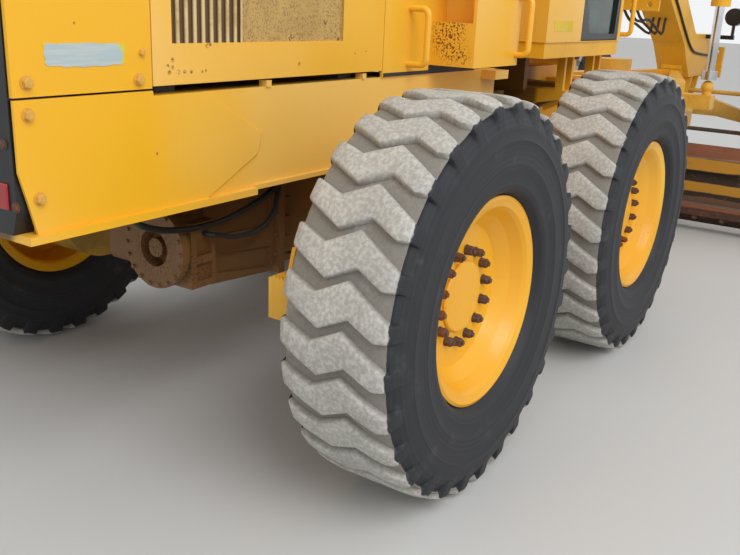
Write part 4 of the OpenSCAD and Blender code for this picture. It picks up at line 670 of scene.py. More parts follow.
def other_finishes():
    """Steel, rubber, glass, plastic and the labels."""
    return {
        "black": plain_look("black paint", (0.009, 0.010, 0.013), (0.020, 0.021, 0.024), 18, 0.34),
        "dark_steel": steel("dark steel", (0.055, 0.048, 0.042), (0.095, 0.080, 0.065), 0.55, 0.6, 0.5),
        "cast": steel("cast iron", (0.10, 0.095, 0.09), (0.065, 0.060, 0.055), 0.25, 0.7, 0.3),
        "nut": steel("rusty nuts", (0.16, 0.095, 0.07), (0.10, 0.055, 0.04), 0.6, 0.8, 0.25),
        "blade": blade_look(),
        "chrome": plain_look("chrome rod", (0.74, 0.75, 0.77), (0.60, 0.61, 0.63), 25, 0.14,
                             metal=1.0, grain=0.05),
        "rubber": rubber_look(),
        "hose": plain_look("hose rubber", (0.014, 0.014, 0.015), (0.035, 0.033, 0.030), 40, 0.55),
        "vinyl": plain_look("seat vinyl", (0.018, 0.018, 0.019), (0.038, 0.037, 0.036), 45, 0.5,
                            grain=0.5),
        "plastic": plain_look("black plastic", (0.020, 0.020, 0.021), (0.040, 0.040, 0.040), 60, 0.5),
        "glass": glass_look(),
        "red_lens": plain_look("red lens", (0.42, 0.004, 0.006), (0.30, 0.003, 0.005), 20, 0.16,
                               grain=0.1, coat=0.6),
        "clear_lens": plain_look("lamp lens", (0.68, 0.70, 0.70), (0.55, 0.57, 0.57), 20, 0.12,
                                 metal=0.2, grain=0.1, coat=0.5),
        "label": label_look(),
        "yellow_label": plain_look("plain label", (0.80, 0.56, 0.03), (0.72, 0.48, 0.02), 60, 0.5),
        "mirror": plain_look("mirror glass", (0.62, 0.66, 0.68), (0.52, 0.56, 0.58), 9, 0.06,
                             metal=1.0, grain=0.02),
    }


class GRADER_OT_finishes(bpy.types.Operator):
    """Makes the finishes and puts them on the CAD parts"""
    bl_idname = "grader.finishes"
    bl_label = "Finishes"

    def execute(self, context):
        LOOKS.update(paint_finishes(settings("paint")))
        LOOKS.update(other_finishes())
        look_of = {part: look for look, parts in PARTS_BY_LOOK.items() for part in parts}
        for name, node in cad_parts.items():
            part = name.removesuffix("_left").removesuffix("_right")
            node.data.materials.clear()
            node.data.materials.append(LOOKS[look_of.get(part, "yellow")])
        return {"FINISHED"}


# Tyres
# Columns: share of the tread's width from its inner edge, distance of the edge along the tread in metres
LUG_UPPER = ((0.0, 0.012), (0.30, 0.056), (0.59, 0.004), (1.0, 0.096))
LUG_LOWER = ((0.0, 0.086), (0.38, 0.156), (0.65, 0.110), (0.90, 0.156), (1.0, 0.152))
# How far each tyre is turned, in degrees
LUG_PHASE = {"rear": 0.35, "mid": 5.55, "front": 3.1}


def edge_at(edge, share):
    """Distance of a lug's edge along the tread at a share of its width."""
    return float(np.interp(share, [p[0] for p in edge], [p[1] for p in edge]))


def tyre_columns():
    """The tyre's section from the inner bead to the outer bead.

    Each row holds: share of the tread, radius on a lug, offset on a lug, radius in a groove,
    offset in a groove, tread dust. Offsets are from the wheel's middle plane, positive outboard.
    """
    wheels = settings("wheels")
    top, half, wall = wheels.radius, wheels.tread / 2, wheels.width / 2
    deep = wheels.lug_height
    # Columns of the side wall: radius, offset
    walls = [
        (0.318, 0.118), (0.326, 0.136), (0.350, 0.146), (0.362, 0.158), (0.366, 0.172), (0.378, 0.183),
        (0.392, 0.189), (0.404, 0.188), (0.422, 0.191), (0.447, 0.197), (0.452, 0.1995), (0.457, 0.198),
        (0.500, 0.200), (0.527, 0.1995), (0.531, 0.202), (0.536, 0.1995), (0.560, 0.198), (0.578, 0.1955),
    ]
    # Columns of the shoulder: radius and offset on a lug, radius and offset in a groove, tread dust
    shoulder = [
        (top - 0.066, wall - 0.008, top - 0.068, wall - 0.012, 0.0),
        (top - 0.046, wall - 0.010, top - 0.054, wall - 0.020, 0.0),
        (top - 0.028, wall - 0.014, top - 0.042, wall - 0.030, 0.12),
        (top - 0.016, half + 0.002, top - 0.034, half - 0.008, 0.5),
    ]
    rows = [(None, r, w, r, w, 0.0) for r, w in walls]
    rows += [(None, r, w, gr, gw, dust) for r, w, gr, gw, dust in shoulder]
    rows = [(0.0, r, -w, gr, -gw, dust) for _, r, w, gr, gw, dust in rows]
    shares = [0.015, 0.06, 0.12, 0.18, 0.24, 0.30, 0.34, 0.38, 0.44, 0.50, 0.545, 0.59, 0.62, 0.65, 0.71,
              0.77, 0.84, 0.90, 0.95, 0.985]
    for share in shares:
        offset = (share - 0.5) * 2 * half
        # Lug tops and groove floors fall off towards the shoulders
        crown = 0.010 * max(0.0, (abs(offset) - 0.10) / 0.078) ** 2.2 + 0.001 * (offset / half) ** 2
        floor = 0.008 * max(0.0, (abs(offset) - 0.12) / 0.058) ** 2
        rows.append((share, top - crown, offset, top - deep - floor, offset, 1.0))
    outer = [(1.0, r, -w, gr, -gw, dust) for _, r, w, gr, gw, dust in rows[:len(walls) + len(shoulder)]]
    return rows + outer[::-1]


# Rows of points along the tread on each lug and the groove after it
LUG_ROWS = 12
# Width of a lug's worn edge along the tread, and how far its foot stands out into the groove
LUG_LIP = 0.0055
LUG_FOOT = 0.003


def lug_rows(share, reach, pitch):
    """A lug's rows at a share of the tread: angle from the lug's start, height from 0 to 1."""
    upper = edge_at(LUG_UPPER, share) / reach
    lower = edge_at(LUG_LOWER, share) / reach
    lip = LUG_LIP / reach
    foot = LUG_FOOT / reach
    after = upper + pitch
    return [
        (upper - foot, 0.0), (upper + lip * 0.35, 0.86), (upper + lip * 1.5, 1.0),
        (upper * 0.7 + lower * 0.3, 1.0), (upper * 0.5 + lower * 0.5, 1.0),
        (upper * 0.3 + lower * 0.7, 1.0), (lower - lip * 1.5, 1.0), (lower - lip * 0.35, 0.86),
        (lower + foot, 0.0), (lower * 0.72 + after * 0.28, 0.0), (lower * 0.5 + after * 0.5, 0.0),
        (lower * 0.28 + after * 0.72, 0.0),
    ]


def tyre_piece(station, side_name):
    """One tyre in place of its CAD node. Its attributes tell the rubber where tread and grooves are."""
    wheels = settings("wheels")
    side = SIDES[side_name]
    place = station + "_" + side_name
    middle = wheel_middle(place)
    pitch = 2 * math.pi / wheels.lugs
    columns = [(column, lug_rows(column[0], wheels.radius, pitch)) for column in tyre_columns()]
    points, tread, groove, radii = [], [], [], []
    for lug in range(wheels.lugs):
        for row in range(LUG_ROWS):
            for (_, lug_r, lug_w, low_r, low_w, dust), rows in columns:
                along, high = rows[row]
                r = low_r + (lug_r - low_r) * high
                w = low_w + (lug_w - low_w) * high
                turn = lug * pitch + along + math.radians(LUG_PHASE[station])
                if side > 0:
                    turn = math.pi - turn
                points.append((middle.x + r * math.cos(turn), middle.y + side * w,
                               middle.z + r * math.sin(turn)))
                tread.append(dust)
                groove.append(1.0 - high if dust > 0.4 else 0.0)
                radii.append(r)
    across = len(columns)
    around = wheels.lugs * LUG_ROWS
    faces = []
    for a in range(around):
        b = (a + 1) % around
        for c in range(across):
            d = (c + 1) % across
            faces.append((a * across + c, b * across + c, b * across + d, a * across + d))
    name = "tyre_with_lugs_" + place
    mesh = bpy.data.meshes.new(name)
    mesh.from_pydata(points, [], faces)
    for key, values in (("tread", tread), ("groove", groove), ("radius", radii)):
        mesh.attributes.new(key, "FLOAT", "POINT").data.foreach_set("value", values)
    settle(mesh, 48, merge=False)
    mesh.materials.append(LOOKS["rubber"])
    piece = place_mesh(name, mesh, "wheel_" + place)
    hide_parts("tyre_" + place)


class GRADER_OT_tyres(bpy.types.Operator):
    """Makes the six tyres with their zigzag lugs"""
    bl_idname = "grader.tyres"
    bl_label = "Tyres"

    def execute(self, context):
        for station in STATIONS:
            for side_name in SIDES:
                tyre_piece(station, side_name)
        return {"FINISHED"}


# Bolts and nuts by geometry nodes
def hardware_tree():
    """A hexagon head on a washer at each point, turned along the point's facing direction."""
    tree = bpy.data.node_groups.new("Bolt heads", "GeometryNodeTree")

    def socket(label, kind, way="INPUT"):
        return tree.interface.new_socket(label, in_out=way, socket_type="NodeSocket" + kind)

    socket("Geometry", "Geometry")
    for label, value in (("Across flats", 0.03), ("Head height", 0.015), ("Washer radius", 0.022),
                         ("Washer thickness", 0.003), ("Stud radius", 0.008), ("Stud height", 0.004)):
        size = socket(label, "Float")
        size.default_value = value
        size.subtype = "DISTANCE"
    socket("Seed", "Int").default_value = 7
    socket("Finish", "Material")
    socket("Geometry", "Geometry", "OUTPUT")
    given = tree.nodes.new("NodeGroupInput").outputs
    join = tree.nodes.new("GeometryNodeJoinGeometry")

    def put(kind, inputs, output=0, **values):
        return add_node(tree, kind, inputs, **values).outputs[output]

    def scaled(value, factor):
        return put("ShaderNodeMath", {0: value, 1: factor}, operation="MULTIPLY")

    def total(a, b):
        return put("ShaderNodeMath", {0: a, 1: b}, operation="ADD")

    def disc(sides, radius, depth, lift, top_radius=None):
        """A prism, or a cone where it has a radius at its top, with its middle lifted off the face."""
        kind, radii = "GeometryNodeMeshCylinder", {"Radius": radius}
        if top_radius is not None:
            kind, radii = "GeometryNodeMeshCone", {"Radius Bottom": radius, "Radius Top": top_radius}
        solid = put(kind, {"Vertices": sides, "Depth": depth, **radii}, "Mesh")
        raised = put("ShaderNodeCombineXYZ", {"Z": lift})
        moved = put("GeometryNodeTransform", {"Geometry": solid, "Translation": raised})
        tree.links.new(moved, join.inputs["Geometry"])

    # Shares: corner radius of a hexagon over its width, chamfer over the head's height, top over corner
    corner_share, chamfer_share, top_share = 0.577, 0.16, 0.86
    full_turn = 6.283
    washer, head, stud = given["Washer thickness"], given["Head height"], given["Stud height"]
    corner = scaled(given["Across flats"], corner_share)
    chamfer = scaled(head, chamfer_share)
    body = scaled(head, 1 - chamfer_share)
    disc(24, given["Washer radius"], washer, scaled(washer, 0.5))
    disc(6, corner, body, total(washer, scaled(body, 0.5)))
    disc(6, corner, chamfer, total(washer, body), scaled(corner, top_share))
    disc(14, given["Stud radius"], stud, total(total(washer, head), scaled(stud, 0.3)))
    facing = put("GeometryNodeInputNamedAttribute", {"Name": "facing"}, "Attribute",
                 data_type="FLOAT_VECTOR")
    upright = put("FunctionNodeAlignRotationToVector", {"Vector": facing}, axis="Z")
    turn = put("FunctionNodeRandomValue", {"Seed": given["Seed"], 3: full_turn}, 1, data_type="FLOAT")
    spin = put("FunctionNodeEulerToRotation", {"Euler": put("ShaderNodeCombineXYZ", {"Z": turn})})
    rotation = put("FunctionNodeRotateRotation", {"Rotation": upright, "Rotate By": spin},
                   rotation_space="LOCAL")
    copies = put("GeometryNodeInstanceOnPoints", {
        "Points": given["Geometry"], "Instance": join.outputs["Geometry"], "Rotation": rotation})
    real = put("GeometryNodeRealizeInstances", {"Geometry": copies})
    finish = put("GeometryNodeSetMaterial", {"Geometry": real, "Material": given["Finish"]})
    tree.links.new(finish, tree.nodes.new("NodeGroupOutput").inputs["Geometry"])
    return tree


def run_tree(name, tree, base_mesh, values, body):
    """Runs a node tree on a mesh and keeps its result as a plain mesh on a body."""
    source = bpy.data.objects.new(name + "_source", base_mesh)
    bpy.context.scene.collection.objects.link(source)
    modifier = source.modifiers.new("Repeat", "NODES")
    modifier.node_group = tree
    keys = {item.name: item.identifier for item in tree.interface.items_tree
            if item.item_type == "SOCKET" and item.in_out == "INPUT"}
    for label, value in values.items():
        modifier[keys[label]] = value
    graph = bpy.context.evaluated_depsgraph_get()
    mesh = bpy.data.meshes.new_from_object(source.evaluated_get(graph))
    source.modifiers.remove(modifier)
    bpy.data.objects.remove(source)
    mesh.name = name
    if not mesh.polygons:
        raise RuntimeError(name + " came out empty")
    soften(mesh, 35)
    return place_mesh(name, mesh, body)


def point_cloud(name, places):
    """A mesh of loose points from (point, facing direction)."""
    mesh = bpy.data.meshes.new(name)
    mesh.from_pydata([p for p, _ in places], [], [])
    facing = mesh.attributes.new("facing", "FLOAT_VECTOR", "POINT")
    facing.data.foreach_set("vector", [c for _, d in places for c in d])
    return mesh


def bolts(name, places, body, look, across, height=None, washer=None, stud=True, seed=7):
    """Bolt heads or nuts of a width across their flats, at places of (point, facing direction)."""
    tree = bpy.data.node_groups.get("Bolt heads") or hardware_tree()
    values = {
        "Across flats": across,
        "Head height": height or across * 0.55,
        "Washer radius": washer or across * 0.75,
        "Washer thickness": across * 0.12,
        "Stud radius": across * 0.3,
        "Stud height": across * (0.3 if stud else 0.05),
        "Seed": seed,
        "Finish": LOOKS[look],
    }
    return run_tree(name, tree, point_cloud(name, places), values, body)


class GRADER_OT_wheel_nuts(bpy.types.Operator):
    """Puts the ring of rusty nuts on each wheel"""
    bl_idname = "grader.wheel_nuts"
    bl_label = "Wheel nuts"

    def execute(self, context):
        wheels = settings("wheels")
        disc_out = 0.056  # Distance from the wheel's middle to the rim disc's face
        first = 0.3  # Share of the spacing by which the first nut is turned
        for station in STATIONS:
            for side_name, side in SIDES.items():
                place = station + "_" + side_name
                middle = wheel_middle(place)
                y = middle.y + side * disc_out
                places = []
                for k in range(wheels.nuts):
                    turn = 2 * math.pi * (k + first) / wheels.nuts
                    x = middle.x + wheels.nut_circle * math.cos(turn)
                    z = middle.z + wheels.nut_circle * math.sin(turn)
                    places.append(((x, y, z), (0, side, 0)))
                bolts("nuts_" + place, places, "wheel_" + place, "nut", wheels.nut_size,
                      height=0.024, washer=0.0175, seed=11 + len(place))
        return {"FINISHED"}


# Side faces of the rear plates and of the cab, as distances from the machine's middle
PLATE_FACE = 0.520
CAB_FACE = 0.720
# Columns: distance along the machine, height
PLATE_BOLTS = ((-4.344, 1.068), (-4.359, 1.278), (-4.356, 1.355), (-4.009, 1.347), (-4.353, 1.76),
               (-4.353, 1.97), (-3.998, 1.76))
SMALL_BOLT = (-3.995, 1.419)
# Columns: distance to the side, height
PANEL_BOLTS = ((0.474, 1.205), (0.505, 1.052), (0.474, 1.62), (0.474, 1.90))


class GRADER_OT_panel_bolts(bpy.types.Operator):
    """Puts the bolts on the rear plates, the rear panel and the blade"""
    bl_idname = "grader.panel_bolts"
    bl_label = "Panel bolts"

    def execute(self, context):
        hardware = settings("hardware")
        width, washer = hardware.bolt_size, hardware.washer
        places = [((x, side * PLATE_FACE, z), (0, side, 0))
                  for x, z in PLATE_BOLTS for side in SIDES.values()]
        bolts("rear_plate_bolts", places, "tractor", "bolt", width,
              washer=washer, stud=False)
        x, z = SMALL_BOLT
        places = [((x, side * PLATE_FACE, z), (0, side, 0)) for side in SIDES.values()]
        bolts("small_plate_bolts", places, "tractor", "bolt", width * 0.7,
              washer=washer * 0.55, stud=False, seed=3)
        places = [((cad_low.x, side * y, z), (-1, 0, 0))
                  for y, z in PANEL_BOLTS for side in SIDES.values()]
        bolts("rear_panel_bolts", places, "tractor", "nut", width * 0.8,
              height=0.005, washer=washer * 0.8, stud=False, seed=4)
        self.edge_bolts(hardware.edge_bolts)
        return {"FINISHED"}

    def edge_bolts(self, count):
        """A row of bolts along the cutting edge, from 0.1 m inside each end of the blade."""
        low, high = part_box("moldboard")
        places = [((low.x + 0.03, low.y + 0.1 + (high.y - low.y - 0.2) * k / (count - 1), low.z + 0.075),
                   (-1, 0, 0)) for k in range(count)]
        bolts("edge_bolts", places, "blade", "nut", 0.030, seed=5)


# Labels and lamps
# Outlines of the labels: distance along the machine, height
WORN_LABEL = (
    (-4.304, 1.446), (-4.290, 1.447), (-4.262, 1.443), (-4.250, 1.446), (-4.215, 1.445), (-4.160, 1.446),
    (-4.120, 1.443), (-4.085, 1.444), (-4.052, 1.441), (-4.050, 1.422), (-4.056, 1.412), (-4.053, 1.396),
    (-4.060, 1.388), (-4.090, 1.390), (-4.120, 1.386), (-4.155, 1.388), (-4.185, 1.386), (-4.215, 1.389),
    (-4.240, 1.387), (-4.262, 1.392), (-4.285, 1.391), (-4.300, 1.396), (-4.297, 1.408), (-4.303, 1.420),
    (-4.299, 1.432),
)
SQUARE_LABEL = ((-1.606, 1.482), (-1.366, 1.482), (-1.366, 1.533), (-1.606, 1.533))


class GRADER_OT_labels(bpy.types.Operator):
    """Puts the blank worn labels where the photograph shows them"""
    bl_idname = "grader.labels"
    bl_label = "Blank labels"

    def execute(self, context):
        sunk, proud = 0.0005, 0.0015
        for side_name, side in SIDES.items():
            for name, outline, face, body, look in (
                    ("rear_label_", WORN_LABEL, PLATE_FACE, "tractor", "label"),
                    ("cab_label_", SQUARE_LABEL, CAB_FACE, "front_body", "yellow_label")):
                near, far = sorted((side * (face - sunk), side * (face + proud)))
                shape = Shape().plate(outline, near, far)
                make_piece(name + side_name, shape, body, look)
        return {"FINISHED"}


# Places of the lamps: side and height of the middle, and edges as (near, far, low, high)
WORK_LAMP = (0.400, 1.600)
TAIL_LENS = (0.360, 0.478, 1.040, 1.108)
# Name, face along the machine, direction, nearer and farther edge of the lamp to the side
ROOF_LAMPS = (("front", 0.120, 1, 0.250, 0.400), ("rear", -1.810, -1, 0.400, 0.550))
ROOF_LENS_HEIGHTS = (3.206, 3.272)
# Sections of a work lamp: radius, distance ahead of the lamp's face
LAMP_RIM = ((0.070, -0.004), (0.085, -0.004), (0.087, 0.008), (0.078, 0.010), (0.074, 0.004))
LAMP_DOME = ((0.001, -0.003), (0.076, -0.003), (0.074, 0.002), (0.060, 0.006), (0.036, 0.009),
             (0.001, 0.010))


class GRADER_OT_lamps(bpy.types.Operator):
    """Makes the tail lamps and the lenses of the work lamps"""
    bl_idname = "grader.lamps"
    bl_label = "Lamps"

    def execute(self, context):
        for side_name, side in SIDES.items():
            self.tail_lens(side_name, side)
            self.round_lens(side_name, side)
            self.roof_lenses(side_name, side)
        return {"FINISHED"}

    def tail_lens(self, side_name, side):
        """Red lens low on the rear panel."""
        panel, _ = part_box("rear_panel")
        near, far, low, high = TAIL_LENS
        a, b = sorted((side * near, side * far))
        lens = Shape().box((panel.x - 0.006, a, low), (panel.x + 0.002, b, high))
        make_piece("tail_lens_" + side_name, lens, "tractor", "red_lens", bevel=0.004,
                   segments=3)

    def round_lens(self, side_name, side):
        """Domed lens in a rim on a front work lamp."""
        _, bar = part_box("lamp_bar")
        out, up = WORK_LAMP
        for name, section, look in (("lamp_rim_", LAMP_RIM, "black"),
                                    ("lamp_lens_", LAMP_DOME, "clear_lens")):
            section = [(radius, bar.x + ahead) for radius, ahead in section]
            shape = Shape().lathe(section, (0.0, side * out, up), "x", 40)
            make_piece(name + side_name, shape, "front_body", look)

    def roof_lenses(self, side_name, side):
        """Flat lenses on the work lamps at both ends of the cab roof."""
        frame_width = 0.012
        low, high = ROOF_LENS_HEIGHTS
        for name, face, ahead, near, far in ROOF_LAMPS:
            a, b = sorted((side * (near + frame_width), side * (far - frame_width)))
            x0, x1 = sorted((face - ahead * 0.002, face + ahead * 0.004))
            lens = Shape().box((x0, a, low), (x1, b, high))
            make_piece("roof_lens_" + name + "_" + side_name, lens, "front_body",
                       "clear_lens", bevel=0.002)


# Seat, controls and small fittings
def cushion(width, length, thick, crown, channels):
    """A crowned pad about the origin, with its piping: the sides pull in between the corners.

    Width runs along y, length along x and thickness along z. Channels are sewn across the crowned side
    at shares of the length, and the piped seam runs round the pad's middle.
    """
    count = 72  # Points round the outline
    power = 2 / 5.5  # How square the outline is
    pull_in, edge_gap, channel_depth, channel_width = 0.035, 0.002, 0.010, 0.012
    outline = []
    for k in range(count):
        t = 2 * math.pi * k / count
        c, n = math.cos(t), math.sin(t)
        x = math.copysign(abs(c) ** power, c)
        y = math.copysign(abs(n) ** power, n)
        pull = 1 - pull_in * (1 - min(abs(x), abs(y)) ** 2)
        outline.append((x * pull * length / 2, y * pull * width / 2))
    shares = [0.04, 0.2, 0.4, 0.6, 0.76, 0.88, 0.95, 0.985, 1.0]
    rings = []
    for top in (-1, 1):
        for share in (shares if top < 0 else shares[::-1]):
            rise = (1 - share ** 9) ** 0.5
            swell = crown * (1 - share ** 2) if top > 0 else 0.0
            ring = []
            for x, y in outline:
                px, py = x * share, y * share
                z = top * (thick / 2 * rise + edge_gap) + swell
                if top > 0:
                    for place in channels:
                        away = (px - place * length) / channel_width
                        z -= channel_depth * rise * math.exp(-away ** 2)
                ring.append((px, py, z))
            rings.append(ring)
    seam = [(x * 1.004, y * 1.004, 0.0) for x, y in outline + outline[:3]]
    return Shape().ring_strip(rings), Shape().tube(seam, 0.0045, 8)


# Name, (width, length, thickness, crown, sewn channels), distance ahead of the seat's rear edge, height,
# lean in degrees
SEAT_PADS = (
    ("seat_cushion", (0.50, 0.49, 0.110, 0.016, (-0.22, 0.0, 0.22)), 0.295, 1.815, 0.0),
    ("seat_back", (0.48, 0.62, 0.090, 0.014, (-0.28, -0.1, 0.1, 0.28)), 0.090, 2.195, 98.0),
)
KNOB = ((0.0005, -0.017), (0.012, -0.013), (0.016, 0.0), (0.012, 0.014), (0.0005, 0.018))
# Edges of the mirror glass: nearer and farther to the side, low, high, and its place along the machine
MIRROR_GLASS = (0.836, 0.986, 2.746, 3.024, -0.576)
# Outer face of the windscreen, and a wiper's foot and tip as distance to the side and height
WINDSCREEN = -0.048
WIPER_FOOT = (0.16, 1.945)
WIPER_TIP = (0.05, 2.30)


class GRADER_OT_cab_fittings(bpy.types.Operator):
    """Makes the seat, the levers, the mirror glass, the wipers and the door furniture"""
    bl_idname = "grader.cab_fittings"
    bl_label = "Cab fittings"

    def execute(self, context):
        self.seat()
        self.controls()
        for side_name, side in SIDES.items():
            self.mirror(side_name, side)
            self.door_furniture(side_name, side)
        self.wipers()
        return {"FINISHED"}

    def seat(self):
        """Cushion and back with piping, on a base with bellows."""
        low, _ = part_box("seat")
        for name, sizes, along, height, lean in SEAT_PADS:
            pad, piping = cushion(*sizes)
            turn = Matrix.Translation((low.x + along, 0, height))
            turn = turn @ Matrix.Rotation(math.radians(-lean), 4, "Y")
            if lean:
                # The crowned side of the back faces ahead
                turn = turn @ Matrix.Rotation(math.radians(180), 4, "X")
            for shape in (pad, piping):
                shape.points = [tuple(turn @ Vector(p)) for p in shape.points]
            piece = make_piece(name, pad, "front_body", "vinyl", smooth_angle=60)
            make_piece(name + "_piping", piping, "front_body", "plastic", smooth_angle=60)
        self.seat_base(low.x + 0.295, low.z)

    def seat_base(self, x, z):
        """Foot, seven folds of bellows and a tray, in place of the CAD node."""
        foot, folds, fold, half_fold, inset = 0.05, 7, 0.035, 0.018, 0.012
        base = Shape().box((x - 0.225, -0.17, z), (x + 0.135, 0.17, z + foot))
        for k in range(folds):
            here = z + foot + fold * k
            base.box((x - 0.205, -0.155, here), (x + 0.115, 0.155, here + half_fold))
            base.box((x - 0.205 + inset, -0.155 + inset, here + half_fold),
                     (x + 0.115 - inset, 0.155 - inset, here + fold))
        base.box((x - 0.225, -0.21, z + 0.295), (x + 0.20, 0.21, z + 0.335))
        piece = make_piece("seat_base", base, "front_body", "plastic", bevel=0.003)
        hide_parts("seat")

    def controls(self):
        """Two banks of levers beside the wheel, with round knobs."""
        _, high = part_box("steering_console")
        out, half_width, lever_count, lever_radius = 0.165, 0.048, 4, 0.005
        levers = Shape()
        knobs = Shape()
        for side in SIDES.values():
            levers.box((high.x - 0.19, side * out - half_width, high.z - 0.42),
                       (high.x - 0.10, side * out + half_width, high.z - 0.30))
            for k in range(lever_count):
                foot = (high.x - 0.145, side * (0.138 + 0.018 * k), high.z - 0.31)
                tip = (high.x - 0.185, side * (0.150 + 0.034 * k), high.z - 0.10)
                levers.tube([foot, tip], lever_radius, 8)
                knobs.lathe(KNOB, tip, "z", 14)
        make_piece("levers", levers, "front_body", "dark_steel", bevel=0.0015)
        make_piece("lever_knobs", knobs, "front_body", "plastic", smooth_angle=60)

    def mirror(self, side_name, side):
        """Glass on the rear face of a mirror's housing."""
        near, far, low, high, face = MIRROR_GLASS
        a, b = sorted((side * near, side * far))
        shape = Shape().box((face - 0.002, a, low), (face + 0.001, b, high))
        make_piece("mirror_glass_" + side_name, shape, "front_body", "mirror",
                   bevel=0.001)

    def door_furniture(self, side_name, side):
        """Pull handle and latch plate near the door's free edge."""
        _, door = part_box("door_" + side_name)
        x = door.x - 0.020
        # The pull's bends: distance out of the door's face, height
        bends = ((-0.002, 1.86), (0.030, 1.875), (0.034, 1.94), (0.030, 2.005), (-0.002, 2.02))
        face = side * CAB_FACE
        pull = smooth_path([(x, face + side * out, z) for out, z in bends], 4)
        shape = Shape().tube(pull, 0.007, 10)
        near, far = sorted((face - side * 0.001, face + side * 0.012))
        shape.box((door.x - 0.034, near, 1.80), (door.x - 0.006, far, 1.845))
        make_piece("door_pull_" + side_name, shape, "cab_door_" + side_name, "black",
                   bevel=0.001)

    def wipers(self):
        """Two wipers on the windscreen, each a pivot, an arm and a blade."""
        half_blade, arm_radius, blade_radius, pivot_radius = 0.20, 0.0045, 0.0050, 0.016
        shape = Shape()
        for side in (1, -1):
            foot = Vector((WINDSCREEN + 0.008, side * WIPER_FOOT[0], WIPER_FOOT[1]))
            tip = Vector((WINDSCREEN + 0.016, side * WIPER_TIP[0], WIPER_TIP[1]))
            shape.tube([foot - Vector((0.010, 0, 0)), foot + Vector((0.008, 0, 0))], pivot_radius, 14)
            shape.tube([foot + Vector((0.005, 0, 0)), tip], arm_radius, 8)
            along = (tip - foot).normalized()
            blade = tip - Vector((0.010, 0, 0))
            shape.tube([blade - along * half_blade, blade + along * half_blade], blade_radius, 8)
            shape.tube([tip, blade], blade_radius, 8)
        make_piece("wipers", shape, "front_body", "plastic")


# Outline of the rear corner plate's free edge: distance along the machine, height
CORNER_EDGE = ((-3.757, 1.298), (-3.498, 1.150), (-3.516, 1.089), (-3.748, 0.978))
# Black strips of painted shade in the gap between hood and frame rail: rear and front end along the
# machine, top
SHADE_STRIPS = ((-2.786, -2.440, 1.316), (-2.440, -2.022, 1.337))
SHADE_STRIP_FOOT = 1.301
# Section of a fuel cap: radius, height above the tank
FUEL_CAP = ((0.0005, 0.0), (0.058, 0.0), (0.058, 0.006), (0.050, 0.008), (0.050, 0.030), (0.045, 0.036),
            (0.0005, 0.038))
FUEL_CAP_PLACE = (-2.20, 0.630)


class GRADER_OT_body_fittings(bpy.types.Operator):
    """Makes the weld beads, the black strips of painted shade above the frame rail and the fuel caps"""
    bl_idname = "grader.body_fittings"
    bl_label = "Body fittings"

    def execute(self, context):
        for side_name, side in SIDES.items():
            self.shade_strip(side_name, side)
            self.weld_bead(side_name, side)
            self.fuel_cap(side_name, side)
        return {"FINISHED"}

    def shade_strip(self, side_name, side):
        """Black strips that paint the shade in the gap above the frame rail."""
        near, far = sorted((side * 0.519, side * 0.5208))
        shade_strip = Shape()
        for rear, ahead, top in SHADE_STRIPS:
            shade_strip.box((rear, near, SHADE_STRIP_FOOT), (ahead, far, top))
        make_piece("painted_shade_strip_" + side_name, shade_strip, "tractor", "plastic")

    def weld_bead(self, side_name, side):
        """A rippled bead of weld along the corner plate's free edge."""
        face, ripple = side * 0.5135, 0.008
        bead = []
        for (x0, z0), (x1, z1) in zip(CORNER_EDGE, CORNER_EDGE[1:]):
            steps = max(2, int(math.hypot(x1 - x0, z1 - z0) / ripple))
            bead += [(x0 + (x1 - x0) * k / steps, face, z0 + (z1 - z0) * k / steps)
                     for k in range(steps)]
        bead.append((CORNER_EDGE[-1][0], face, CORNER_EDGE[-1][1]))
        widths = [0.0062 if k % 2 else 0.0054 for k in range(len(bead))]
        make_piece("weld_bead_" + side_name, Shape().tube(bead, widths, 10), "tractor",
                   "plate", smooth_angle=50)

    def fuel_cap(self, side_name, side):
        """Turned cap with a grip across it."""
        _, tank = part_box("tank_right")
        x, y = FUEL_CAP_PLACE[0], side * FUEL_CAP_PLACE[1]
        grip_length, grip_width = 0.040, 0.008  # Half of each
        cap = Shape().lathe(FUEL_CAP, (x, y, tank.z - 0.001), "z", 32)
        cap.box((x - grip_length, y - grip_width, tank.z + 0.030),
                (x + grip_length, y + grip_width, tank.z + 0.046))
        make_piece("fuel_cap_" + side_name, cap, "tractor", "black", bevel=0.002)


